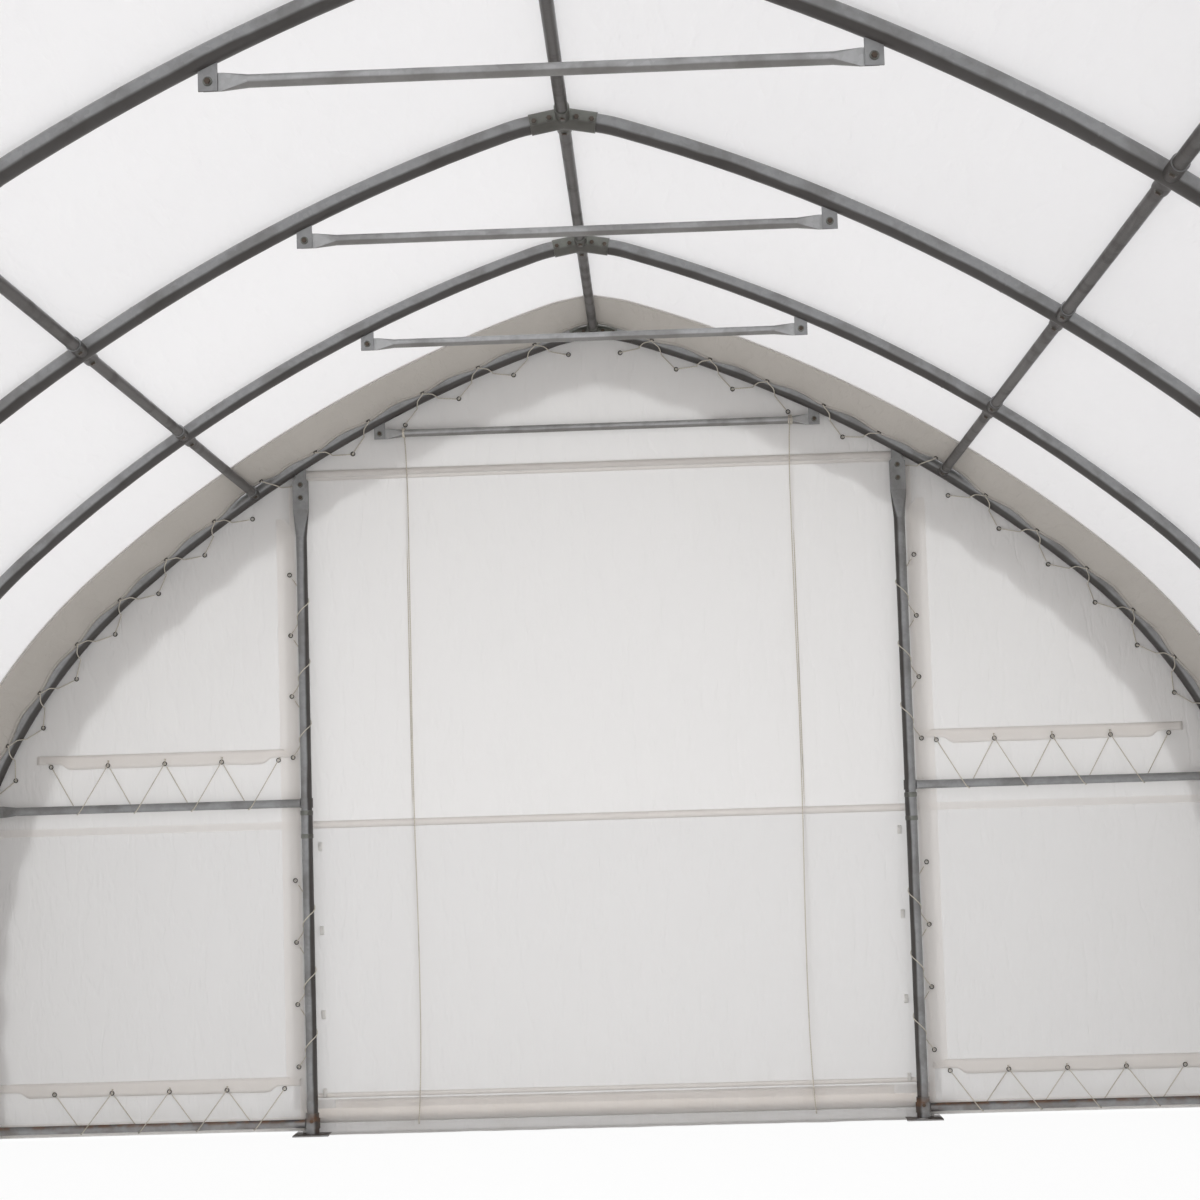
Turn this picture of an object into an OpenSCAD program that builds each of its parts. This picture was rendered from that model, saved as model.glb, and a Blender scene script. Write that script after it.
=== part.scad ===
// Fabric storage shelter. Peaked arches of round tube stand on base plates, and purlins, ridge
// connectors and collar ties join them. Sheets cover the roof and both end walls. Each end wall
// has a framed doorway: the far door hangs closed and the near door is rolled up.
// Millimetres, +Z up. X runs across the shelter and Y along it, and the origin is on the ground
// below the middle of the ridge.

/* [Shelter] */
// Width over the arch tubes
shelter_w = 6090; // [5000:10:7300]
// Height over the arch tubes at the ridge
shelter_h = 3656; // [3500:1:4400]
// Distance between neighbouring arches
bay_l = 1524; // [1200:1:1830]

/* [Arches] */
// Outside diameter of the arch tube
arch_d = 60; // [45:1:72]
// Bend radius at the eaves
eave_r = 2400; // [1900:10:2600]
// Angle of the arch where the eave bend ends, from upright
eave_deg = 49; // [42:1:55]
// Angle of the arch where the ridge bend starts, from upright
roof_deg = 72; // [66:0.5:75]
// Bend radius beside the ridge connector
ridge_r = 600; // [300:10:900]
// Angle of the arch at the ridge connector, from upright
ridge_deg = 79.5; // [77:0.5:84]
// Length of the ridge connector's sloping arms
ridge_arm_l = 110; // [80:5:150]

/* [Purlins and ties] */
// Outside diameter of the purlin tube
purlin_d = 42; // [30:1:50]
// Distance of the upper purlins from the middle of the shelter
purlin_x = 1580; // [1200:10:1900]
// Angle of the arch at the lower purlins, from upright
lower_purlin_deg = 8; // [4:1:30]
// Length of the purlin sleeves on each side of an arch
sleeve_l = 110; // [70:5:150]
// Wall of the sleeves and of the ridge connector
sleeve_t = 4; // [3:0.5:6]
// Outside diameter of the collar tie tube
tie_d = 34; // [25:1:42]
// Distance of an end arch's tie bolts from the middle of the shelter
end_tie_x = 1000; // [700:10:1300]
// Distance of an inner arch's tie bolts from the middle of the shelter
inner_tie_x = 850; // [600:10:1100]
// Width of a flattened tie end
tie_flat_w = 48; // [36:1:60]

/* [End walls] */
// Outside diameter of the door post
post_d = 50; // [40:1:60]
// Distance of the door posts from the middle of the shelter
post_x = 1370; // [1000:10:1500]
// Width of the post's flattened top
post_flat_w = 72; // [60:1:90]
// Length of the post's flattened top
post_flat_l = 150; // [100:5:200]
// Height of the door opening
door_h = 2990; // [2400:10:3000]
// Outside diameter of the rails
rail_d = 38; // [30:1:45]
// Height of the mid rails' axis
mid_rail_z = 1490; // [1200:10:1700]
// Height of the base rails' axis
base_rail_z = 50; // [32:1:80]
// Outside diameter of the pipe in the door's hem
door_pipe_d = 34; // [25:1:42]
// Height of the closed door's pipe axis
door_pipe_z = 60; // [40:1:90]
// Distance that the door reaches past a post's axis
door_lap = 90; // [60:5:120]
// Diameter of the rolled door
door_roll_d = 100; // [80:5:140]
// Diameter of the door ropes
rope_d = 5; // [4:1:8]

/* [Sheets] */
// Thickness of the sheets as modelled
sheet_t = 4; // [3:0.5:6]
// Width of the roof cover's edge where it folds down over an end wall
valance_w = 280; // [150:10:320]
// Width of the skirt inside the cover beside an end arch
skirt_w = 560; // [400:10:800]
// Height of the sheets' lower edges
hem_z = 12; // [8:1:30]

/* [Base plates] */
// Side of a base plate
plate_w = 160; // [140:5:220]
// Thickness of a base plate
plate_t = 6; // [5:1:10]
// Distance between a plate's two anchor holes
anchor_gap = 120; // [100:5:140]
// Diameter of an anchor hole
anchor_d = 14; // [10:1:18]
// Height of the stub in an arch foot
stub_h = 120; // [80:5:160]
// Height of the socket at a door post's foot
socket_h = 90; // [60:5:120]

/* [Hidden] */

$fn = 96;
FAR = 1;       // the end wall at +Y
NEAR = -1;     // the end wall at -Y
RIGHT = 1;
LEFT = -1;
arches = 7;
fit = 0.3;     // clearance between neighbouring pieces
bracket_t = 6; // thickness of the plates welded to the arches
bracket_w = 50;
rail_reach = arch_d / 2 + 62; // from the arch's axis to the far edge of a rail's bracket
stub_d = arch_d - 8;
tie_edge = 25; // from the collar tie's bolt to its end
flat_t = 5;    // thickness of a flattened tube end
cut_l = 20000; // longer than the shelter, for cutting

GALVANISED = "#8d9092";
CONNECTOR = "#a3a6a6";
COVER = "#eeedec";
SKIRT = "#a29d97";
WALL = "#dad9d7";
ROPE = "#d8d2c4";

end_y = bay_l * (arches - 1) / 2;

// The arch's centreline, a leg and three bends tangent to each other, ends in a straight arm at
// the ridge. A point on a bend lies at its centre plus its radius along dir(angle).
function dir(a) = [cos(a), sin(a)];
function gap_deg(gap) = gap / roof_r * 180 / PI;
half_w = shelter_w / 2 - arch_d / 2;
crown_z = shelter_h - arch_d / 2;
arm_end = [ridge_arm_l * sin(ridge_deg), crown_z - ridge_arm_l * cos(ridge_deg)];
ridge_c = arm_end - ridge_r * dir(ridge_deg);
roof_end = ridge_c + ridge_r * dir(roof_deg);
roof_r = (half_w - eave_r * (1 - cos(eave_deg)) - roof_end.x) / (cos(eave_deg) - cos(roof_deg));
roof_c = roof_end - roof_r * dir(roof_deg);
eave_end = roof_c + roof_r * dir(eave_deg);
eave_c = eave_end - eave_r * dir(eave_deg);
leg_h = eave_c.y;

// Height of the roof bend's centreline and of its underside, and the eave bend's distance from the
// middle at a height
function roof_z(x) = roof_c.y + sqrt(pow(roof_r, 2) - pow(x - roof_c.x, 2));
function under_z(x) = roof_z(x) - arch_d / 2 * roof_r / sqrt(pow(roof_r, 2) - pow(x - roof_c.x, 2));
function eave_x(z) =
    z < leg_h ? half_w : eave_c.x + sqrt(pow(eave_r, 2) - pow(z - eave_c.y, 2));

// The outline of half an arch, moved outwards by out, from the ground to the ridge
function bend_points(c, r, from, to, out) =
    [for (i = [0:12]) c + (r + out) * dir(from + (to - from) * i / 12)];
function outline(out) = concat(
    [[half_w + out, 0]],
    bend_points(eave_c, eave_r, 0, eave_deg, out),
    bend_points(roof_c, roof_r, eave_deg, roof_deg, out),
    [arm_end + out * dir(ridge_deg), [0, crown_z + out / sin(ridge_deg)]]
);

upper_purlin = [purlin_x, roof_z(purlin_x)];
lower_purlin = eave_c + eave_r * dir(lower_purlin_deg);
function is_end(i) = i == 1 || i == arches;
function tie_x(i) = is_end(i) ? end_tie_x : inner_tie_x;
function tie_z(i) = under_z(tie_x(i) + tie_edge) - tie_flat_w / 2 - 2;
tie_y = bracket_t / 2 + fit + flat_t / 2;
post_y = -tie_y - flat_t / 2;
post_flat_t = 2 * flat_t;
post_top_z = under_z(post_x + post_flat_w / 2) - 3;
post_bracket_h = post_flat_l - 30;
socket_d = post_d + 2 * fit + 2 * sleeve_t;

// Layers of the end wall, counted outwards from the arch's axis
wall_y = arch_d / 2 + fit;
door_y = wall_y + sheet_t + fit;
valance_y = door_y + sheet_t + fit;
wall_out = arch_d / 2 + sleeve_t;
cover_out = wall_out + fit;
pipe_y = door_y + sheet_t + fit + door_pipe_d / 2;
panel_x = post_x + post_d / 2 + 10;
door_half_w = post_x + door_lap;
roll_y = valance_y + sheet_t + fit + door_roll_d / 2;
roll_z = door_h - door_roll_d / 2 - 10;
pipe_half_l = door_half_w + 60;

// Routes of the ropes on the right of the far door and of the rolled near door, in the end wall's
// frame: down the inner face, under the pipe or the roll, and up the outer face.
rope_x = 890;
closed_route = [
    [890, 26, 3180], [888, 26, 3150], [884, 25, 3080], [880, 25, 2900], [880, 25, 2650],
    [881, 25, 2400], [882, 25, 2150], [884, 25, 1900], [884, 25, 1650], [883, 25, 1400],
    [880, 25, 1150], [877, 25, 900], [876, 25, 650], [878, 24, 400], [884, 21, 200],
    [890, 19, 90], [894, 22, 50], [895, 31, 34], [896, 42, 31], [897, 56, 36], [897, 69, 44],
    [897, 77, 60], [896, 75, 120], [895, 60, 400], [894, 50, 900], [893, 45, 1400],
    [892, 43, 1900], [891, 43, 2400], [890, 43, 2800], [890, 43, 2960]
];
rolled_route = [
    [890, 26, 3180], [889, 26, 3120], [888, 26, 3050], [888, 27, 2970], [888, 32, 2900],
    [888, 50, 2866], [888, 75, 2840], [888, 98, 2826], [888, 122, 2836], [888, 142, 2858],
    [888, 152, 2890], [888, 151, 2925], [888, 138, 2958], [888, 114, 2984], [888, 84, 3000],
    [889, 58, 3016], [890, 52, 3030]
];

// --- helpers ---

module at_end(s) mirror([0, s < 0 ? 1 : 0, 0]) translate([0, end_y, 0]) children();

module at_side(s) mirror([s < 0 ? 1 : 0, 0, 0]) children();

module at_arch(i) translate([0, (i - (arches + 1) / 2) * bay_l, 0]) children();

// A tube along X that starts at a point
module tube_x(d, l) rotate([0, 90, 0]) cylinder(d = d, h = l);

// A tube along Y between two values
module tube_y(d, from, to) translate([0, from, 0]) rotate([-90, 0, 0]) cylinder(d = d, h = to - from);

// A 2-D section turned about a bend's centre; the section's X points outwards
module bend(c, r, from, to)
    translate([c.x, 0, c.y]) rotate([90, 0, 0]) rotate([0, 0, from])
        rotate_extrude(angle = to - from) translate([r, 0]) children();

// A 2-D section carried up the right-hand side of an arch, in three stretches
module sweep_leg(from_z) {
    translate([half_w, 0, from_z]) linear_extrude(leg_h - from_z) children();
    bend(eave_c, eave_r, 0, eave_deg) children();
}

module sweep_roof(gap) bend(roof_c, roof_r, eave_deg + gap_deg(gap), roof_deg) children();

module sweep_ridge(gap) bend(ridge_c, ridge_r, roof_deg + gap_deg(gap), ridge_deg) children();

// Half a sheet over the arches: its inner face at out, l long and t thick, flat at the ridge
module half_sheet(out, l, from_z, t = sheet_t) {
    sweep_leg(from_z) sheet_section(out, l, t);
    sweep_roof(fit) sheet_section(out, l, t);
    translate([0, l / 2, 0]) rotate([90, 0, 0]) linear_extrude(l)
        polygon(concat(ridge_line(out), [for (i = [2:-1:0]) ridge_line(out + t)[i]]));
}

module sheet_section(out, l, t) translate([out, -l / 2]) square([t, l]);

// From just past the roof bend to just short of the middle of the shelter
function ridge_line(out) = [
    roof_end + out * dir(roof_deg) + fit * dir(roof_deg + 90),
    arm_end + out * dir(ridge_deg),
    [fit / 2, crown_z + (out - fit / 2 * cos(ridge_deg)) / sin(ridge_deg)]
];

// Everything under the arch's outline, standing in the XZ plane and t thick towards +Y
module under_arch(out, t) {
    side = outline(out);
    other_side = [for (i = [len(side) - 2:-1:0]) [-side[i].x, side[i].y]];
    translate([0, t, 0]) rotate([90, 0, 0]) linear_extrude(t) polygon(concat(side, other_side));
}

// A flattened tube end along +X with cropped corners; the tube arrives at x = 0
module flat_end(d, w, t, taper, l) {
    crop = w / 4;
    hull() {
        rotate([0, 90, 0]) cylinder(d = d, h = 1, $fn = 32);
        translate([taper, -t / 2, -w / 2]) cube([1, t, w]);
    }
    translate([0, t / 2, 0]) rotate([90, 0, 0]) linear_extrude(t) polygon([
        [taper, -w / 2], [taper + l - crop, -w / 2], [taper + l, -w / 2 + crop],
        [taper + l, w / 2 - crop], [taper + l - crop, w / 2], [taper, w / 2]
    ]);
}

module base_plate() difference() {
    translate([-plate_w / 2, -plate_w / 2, 0]) cube([plate_w, plate_w, plate_t]);
    for (s = [-1, 1])
        translate([0, s * anchor_gap / 2, -1]) cylinder(d = anchor_d, h = plate_t + 2);
}

// A cord of eight sides swept along a route of points
module cord(route, d) {
    sides = 8;
    last = len(route) - 1;
    function unit(v) = v / norm(v);
    function along(i) = unit(route[min(i + 1, last)] - route[max(i - 1, 0)]);
    function ring(i) = let (a = along(i), u = unit(cross(a, [1, 0.02, 0.01])), v = cross(a, u))
        [for (k = [0:sides - 1]) route[i]
            + d / 2 * (cos(360 * k / sides) * u + sin(360 * k / sides) * v)];
    polyhedron(
        points = [for (i = [0:last]) each ring(i)],
        faces = concat(
            [[for (k = [0:sides - 1]) k]],
            [for (i = [0:last - 1], k = [0:sides - 1]) let (n = (k + 1) % sides)
                [i * sides + k, (i + 1) * sides + k, (i + 1) * sides + n, i * sides + n]],
            [[for (k = [sides - 1:-1:0]) last * sides + k]]
        )
    );
}

// --- frame ---

module purlin_sleeve(p, from, to)
    translate([p.x, 0, p.y]) tube_y(purlin_d + 2 * sleeve_t, from, to);

module tie_bracket(x, z) translate([x - bracket_w / 2, -bracket_t / 2, z - bracket_w / 2])
    cube([bracket_w, bracket_t, roof_z(x) - z + bracket_w / 2]);

// One side of an arch, in three tubes that meet end to end: the leg with a bore for the foot's
// stub, the roof bend with its purlin sleeve and tie bracket, and the short bend at the ridge
module arch_side(i) {
    sleeve_from = i == 1 ? 0 : -sleeve_l;
    sleeve_to = i == arches ? 0 : sleeve_l;
    difference() {
        sweep_leg(plate_t) circle(d = arch_d);
        translate([half_w, 0, plate_t - 1]) cylinder(d = stub_d + 2 * fit, h = stub_h + fit + 1);
    }
    sweep_roof(fit) circle(d = arch_d);
    sweep_ridge(fit) circle(d = arch_d);
    for (p = [upper_purlin, lower_purlin]) purlin_sleeve(p, sleeve_from, sleeve_to);
    tie_bracket(tie_x(i), tie_z(i));
}

module arch(i) color(GALVANISED) at_arch(i) for (s = [LEFT, RIGHT]) at_side(s) {
    arch_side(i);
    if (is_end(i)) {
        translate([post_x, 0, roof_z(post_x)]) post_bracket();
        for (z = [mid_rail_z, base_rail_z]) translate([eave_x(z), 0, z])
            mirror([1, 0, 0]) rail_bracket();
    }
}
// The plate that takes a rail's end, from just inside the tube's wall
module rail_bracket() translate([stub_d / 2 + 1, -bracket_t / 2, -bracket_w / 2])
    cube([rail_reach - stub_d / 2 - 1, bracket_t, bracket_w]);

module post_bracket() translate([-bracket_w / 2, -bracket_t / 2, -arch_d / 2 - post_bracket_h])
    cube([bracket_w, bracket_t, post_bracket_h + arch_d / 2]);

module ridge_connectors() color(CONNECTOR) for (i = [1:arches]) at_arch(i) {
    arm_d = is_end(i) ? arch_d : arch_d + 2 * sleeve_t;
    for (s = [LEFT, RIGHT]) at_side(s) intersection() {
        translate([arm_end.x - fit, 0, arm_end.y]) rotate([0, -ridge_deg, 0])
            cylinder(d = arm_d, h = ridge_arm_l + arch_d);
        translate([0, -cut_l / 2, 0]) cube([cut_l, cut_l, cut_l]);
    }
    translate([0, 0, crown_z]) tube_y(purlin_d + 2 * sleeve_t,
        i == 1 ? 0 : -sleeve_l, i == arches ? 0 : sleeve_l);
}

// A line of purlin tubes, each between the sleeves of two arches
module purlin_line(p) color(GALVANISED) for (i = [1:arches - 1]) at_arch(i)
    translate([p.x, 0, p.y]) tube_y(purlin_d, sleeve_l + fit, bay_l - sleeve_l - fit);

module collar_tie(i) color(GALVANISED) at_arch(i) translate([0, tie_y, tie_z(i)]) {
    taper = 70;
    flat_l = 60;
    tube_l = tie_x(i) + tie_edge - taper - flat_l;
    for (s = [LEFT, RIGHT]) at_side(s) {
        tube_x(tie_d, tube_l);
        translate([tube_l, 0, 0]) flat_end(tie_d, tie_flat_w, flat_t, taper, flat_l);
    }
}

module arch_feet() color(GALVANISED) for (i = [1:arches]) at_arch(i) translate([half_w, 0, 0]) {
    base_plate();
    cylinder(d = stub_d, h = plate_t + stub_h);
}

module post_feet() color(GALVANISED) for (e = [NEAR, FAR], s = [LEFT, RIGHT])
    at_end(e) at_side(s) translate([post_x, post_y, 0]) {
        base_plate();
        difference() {
            cylinder(d = socket_d, h = plate_t + socket_h);
            translate([0, 0, plate_t]) cylinder(d = post_d + 2 * fit, h = socket_h + 1);
        }
    }

module door_post() color(GALVANISED) translate([post_x, post_y, 0]) {
    taper = 130;
    tube_top = post_top_z - post_flat_l - taper;
    translate([0, 0, plate_t]) cylinder(d = post_d, h = tube_top - plate_t);
    translate([0, 0, tube_top]) rotate([0, -90, 0])
        flat_end(post_d, post_flat_w, post_flat_t, taper, post_flat_l);
}

// A rail on the right of a doorway: a clamp ring round the post, a tube and a flattened end
module rail(z, ring_d) translate([0, post_y, z]) {
    taper = 60;
    flat_l = 60;
    ring_h = 44;
    tube_from = post_x + ring_d / 2 + fit + sleeve_t / 2;
    flat_to = eave_x(z) - arch_d / 2 - 8;
    tube_l = flat_to - flat_l - taper - tube_from;
    translate([tube_from, 0, 0]) tube_x(rail_d, tube_l);
    translate([tube_from + tube_l, 0, 0])
        flat_end(rail_d, rail_d + 14, flat_t, taper, flat_l);
    translate([post_x, 0, -ring_h / 2]) difference() {
        cylinder(d = ring_d + 2 * fit + 2 * sleeve_t, h = ring_h);
        translate([0, 0, -1]) cylinder(d = ring_d + 2 * fit, h = ring_h + 2);
    }
}

module rails() color(GALVANISED) for (s = [LEFT, RIGHT]) at_side(s) {
    rail(mid_rail_z, post_d);
    rail(base_rail_z, socket_d);
}

// --- sheets ---

module roof_cover() color(COVER) half_sheet(cover_out, 2 * (end_y + door_y + sheet_t), hem_z);

module inner_skirts() color(SKIRT) for (e = [NEAR, FAR], s = [LEFT, RIGHT]) at_end(e) at_side(s)
    translate([0, -arch_d / 2 - fit - skirt_w / 2, 0])
        half_sheet(cover_out - sheet_t - fit, skirt_w, hem_z);

module valances() color(COVER) for (e = [NEAR, FAR], s = [LEFT, RIGHT]) at_end(e) at_side(s)
    translate([0, valance_y + sheet_t / 2, 0])
        half_sheet(cover_out + sheet_t - valance_w, sheet_t, hem_z, valance_w);

// The end wall's sheet beside the doorway, from the post to the arch's outer side
module wall_panel() color(WALL) intersection() {
    translate([0, wall_y, 0]) under_arch(wall_out, sheet_t);
    translate([panel_x, 0, hem_z]) cube([cut_l, cut_l, cut_l]);
}

// The end wall's sheet above the doorway
module gable() color(WALL) intersection() {
    translate([0, wall_y, 0]) under_arch(wall_out, sheet_t);
    translate([-panel_x + fit, 0, door_h]) cube([2 * panel_x - 2 * fit, cut_l, cut_l]);
}

module closed_door() color(WALL) {
    bottom = door_pipe_z - 20;
    top = door_h + 40;
    intersection() {
        translate([-door_half_w, door_y, bottom]) cube([2 * door_half_w, sheet_t, top - bottom]);
        under_arch(arch_d / 2, cut_l);
    }
}

module rolled_door() color(WALL) {
    difference() {
        translate([-door_half_w, roll_y, roll_z]) tube_x(door_roll_d, 2 * door_half_w);
        translate([-door_half_w - 1, roll_y, roll_z])
            tube_x(door_pipe_d + 2 * fit, 2 * door_half_w + 2);
    }
}

module door_pipe(y, z) translate([-pipe_half_l, y, z]) tube_x(door_pipe_d, 2 * pipe_half_l);

module door_pipes() color(GALVANISED) {
    at_end(FAR) door_pipe(pipe_y, door_pipe_z);
    at_end(NEAR) door_pipe(roll_y, roll_z);
}

module door_ropes() color(ROPE) for (s = [LEFT, RIGHT]) {
    at_end(FAR) at_side(s) cord(closed_route, rope_d);
    at_end(NEAR) at_side(s) cord(rolled_route, rope_d);
}

// --- nodes ---

arch(1);  // arch_1
arch(2);  // arch_2
arch(3);  // arch_3
arch(4);  // arch_4
arch(5);  // arch_5
arch(6);  // arch_6
arch(7);  // arch_7
ridge_connectors();
purlin_line([0, crown_z]);  // ridge_purlin
at_side(LEFT) purlin_line(upper_purlin);  // upper_purlin_left
at_side(RIGHT) purlin_line(upper_purlin);  // upper_purlin_right
at_side(LEFT) purlin_line(lower_purlin);  // lower_purlin_left
at_side(RIGHT) purlin_line(lower_purlin);  // lower_purlin_right
collar_tie(1);  // collar_tie_1
collar_tie(2);  // collar_tie_2
collar_tie(3);  // collar_tie_3
collar_tie(4);  // collar_tie_4
collar_tie(5);  // collar_tie_5
collar_tie(6);  // collar_tie_6
collar_tie(7);  // collar_tie_7
at_side(LEFT) arch_feet();  // arch_feet_left
at_side(RIGHT) arch_feet();  // arch_feet_right
post_feet();
at_end(FAR) at_side(LEFT) door_post();  // far_post_left
at_end(FAR) at_side(RIGHT) door_post();  // far_post_right
at_end(NEAR) at_side(LEFT) door_post();  // near_post_left
at_end(NEAR) at_side(RIGHT) door_post();  // near_post_right
at_end(FAR) rails();  // far_rails
at_end(NEAR) rails();  // near_rails
at_side(LEFT) roof_cover();  // roof_cover_left
at_side(RIGHT) roof_cover();  // roof_cover_right
inner_skirts();
valances();
at_end(FAR) at_side(LEFT) wall_panel();  // far_panel_left
at_end(FAR) at_side(RIGHT) wall_panel();  // far_panel_right
at_end(NEAR) at_side(LEFT) wall_panel();  // near_panel_left
at_end(NEAR) at_side(RIGHT) wall_panel();  // near_panel_right
at_end(FAR) gable();  // far_gable
at_end(NEAR) gable();  // near_gable
at_end(FAR) closed_door();  // far_door
at_end(NEAR) rolled_door();  // near_door
door_pipes();
door_ropes();
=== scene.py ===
"""A fabric storage shelter: the finished look of its tubes, sheets, lacing and ropes.

Metres, Z up, X across the shelter and Y along it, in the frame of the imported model.
"""

import logging
import math
from dataclasses import dataclass, field
from enum import Enum
from functools import cached_property
from typing import Callable, Iterable

import bmesh
import bpy
from mathutils import Matrix, Vector, noise


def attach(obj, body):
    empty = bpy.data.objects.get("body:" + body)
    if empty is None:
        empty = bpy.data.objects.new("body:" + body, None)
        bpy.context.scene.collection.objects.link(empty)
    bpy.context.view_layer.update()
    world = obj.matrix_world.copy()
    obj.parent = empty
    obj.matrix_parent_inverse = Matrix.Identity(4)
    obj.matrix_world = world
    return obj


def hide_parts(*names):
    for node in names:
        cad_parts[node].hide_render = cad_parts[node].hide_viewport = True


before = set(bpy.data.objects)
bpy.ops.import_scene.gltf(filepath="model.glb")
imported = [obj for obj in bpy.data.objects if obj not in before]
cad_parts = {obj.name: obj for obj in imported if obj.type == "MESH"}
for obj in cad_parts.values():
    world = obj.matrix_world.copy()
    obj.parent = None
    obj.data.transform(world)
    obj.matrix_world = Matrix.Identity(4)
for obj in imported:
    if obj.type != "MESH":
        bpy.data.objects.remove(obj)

LOG = logging.getLogger("shelter")
CLOTH_MAP = "cloth"
SEAM_Z = 1.39  # height of the welded seam across the door and the side panels
Route = list[Vector]


class End(Enum):
    """The two end walls, by the direction of their outer face along Y."""

    FAR = 1
    NEAR = -1


class Side(Enum):
    """The two sides of the shelter along X."""

    LEFT = -1
    RIGHT = 1


class Slot(Enum):
    """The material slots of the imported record."""

    TUBE = "galvanised_tube"
    CONNECTOR = "connector_zinc"
    ROOF = "roof_sheet"
    SKIRT = "skirt_sheet"
    WALL = "wall_sheet"
    ROPE = "rope"


# --- shape helpers ---


def ease(low: float, high: float, value: float) -> float:
    """Rises smoothly from 0 to 1 as a value goes from low to high.

    Args:
        low: Where the rise starts.
        high: Where the rise ends; it may be below low.
        value: The value.

    Returns:
        The share from 0 to 1.
    """
    t = max(0.0, min(1.0, (value - low) / (high - low)))
    return t * t * (3 - 2 * t)


def mix(a: float, b: float, share: float) -> float:
    """Returns the value that lies a share of the way from a to b."""
    return a + (b - a) * share


def swell(place: float, step: float) -> float:
    """Returns a wave that is 0 at each step and 1 half way between two."""
    return 0.5 - 0.5 * math.cos(math.tau * place / step)


def on_line(line: list[tuple[float, float]], share: float) -> tuple[float, ...]:
    """Returns the point that lies a share of the way along a line of evenly counted points."""
    step = share * (len(line) - 1)
    k = min(int(step), len(line) - 2)
    return tuple(mix(a, b, step - k) for a, b in zip(line[k], line[k + 1]))


def drift(x: float, y: float, seed: float) -> float:
    """Returns smooth noise from about 0 to 1 at a place on a sheet."""
    return max(0.0, min(1.0, 0.5 + 0.75 * noise.noise(Vector((x, y, seed)))))


def smooth_route(points: Iterable[Vector], parts: int = 4) -> Route:
    """Rounds a route of points with a Catmull-Rom line through them.

    Args:
        points: The route's points.
        parts: How many stretches each gap between two points is cut into.

    Returns:
        The denser route.
    """
    given = [Vector(p) for p in points]
    padded = [2 * given[0] - given[1], *given, 2 * given[-1] - given[-2]]
    out = []
    for a, b, c, d in zip(padded, padded[1:], padded[2:], padded[3:]):
        for k in range(parts):
            t = k / parts
            out.append(0.5 * ((2 * b) + (c - a) * t + (2 * a - 5 * b + 4 * c - d) * t * t
                              + (3 * b - a - 3 * c + d) * t ** 3))
    return out + [given[-1]]


def route_length(route: Route) -> float:
    """Returns the length of a route."""
    return sum((b - a).length for a, b in zip(route, route[1:]))


def new_object(name: str, shape: bmesh.types.BMesh, smooth: bool = True) -> bpy.types.Object:
    """Turns a bmesh into an object at the origin.

    Args:
        name: The piece's name.
        shape: The bmesh, which is freed.
        smooth: Whether its faces are shaded smooth.

    Returns:
        The linked object.
    """
    mesh = bpy.data.meshes.new(name)
    for face in shape.faces:
        face.smooth = smooth
    shape.to_mesh(mesh)
    shape.free()
    piece = bpy.data.objects.new(name, mesh)
    bpy.context.scene.collection.objects.link(piece)
    return piece


def dress(piece: bpy.types.Object, finish: bpy.types.Material, slot: Slot,
          *nodes: str) -> bpy.types.Object:
    """Gives a piece its material and its body, and hides the CAD nodes it replaces.

    Args:
        piece: The piece.
        finish: Its material.
        slot: The record's slot; it is not used.
        *nodes: The CAD nodes that it replaces.

    Returns:
        The same piece.
    """
    piece.data.materials.clear()
    piece.data.materials.append(finish)
    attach(piece, "root")
    if nodes:
        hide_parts(*nodes)
    return piece


def cloth(name: str, cells: tuple[int, int], flat: tuple[float, float],
          place: Callable[[float, float], Vector], facing: Vector,
          thickness: float = 0.0, upright: bool = False) -> bpy.types.Object:
    """Makes a sheet from a grid whose points are then carried to their places.

    Args:
        name: The piece's name.
        cells: Number of cells across and along.
        flat: Size of the cut sheet, which its cloth map measures in metres.
        place: Gives the place of a point from its two shares of the flat size.
        facing: The side that the sheet's faces look to.
        thickness: Thickness to add with Solidify, or 0 for a single layer.
        upright: Whether the cloth map is read from across and up, as on an end wall.

    Returns:
        The sheet.
    """
    shape = bmesh.new()
    bmesh.ops.create_grid(shape, x_segments=cells[0], y_segments=cells[1], size=0.5)
    layer = shape.loops.layers.uv.new(CLOTH_MAP)
    for face in shape.faces:
        for loop in face.loops:
            u, v = loop.vert.co.x + 0.5, loop.vert.co.y + 0.5
            loop[layer].uv = (u * flat[0], v * flat[1])
    for vert in shape.verts:
        vert.co = place(vert.co.x + 0.5, vert.co.y + 0.5)
    if upright:
        for face in shape.faces:
            for loop in face.loops:
                loop[layer].uv = (loop.vert.co.x, loop.vert.co.z)
    shape.normal_update()
    if sum((f.normal * f.calc_area() for f in shape.faces), Vector()).dot(facing) < 0:
        bmesh.ops.reverse_faces(shape, faces=shape.faces)
    piece = new_object(name, shape)
    if thickness:
        solid = piece.modifiers.new("thickness", "SOLIDIFY")
        solid.thickness = thickness
        solid.offset = 0
    return piece


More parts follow.
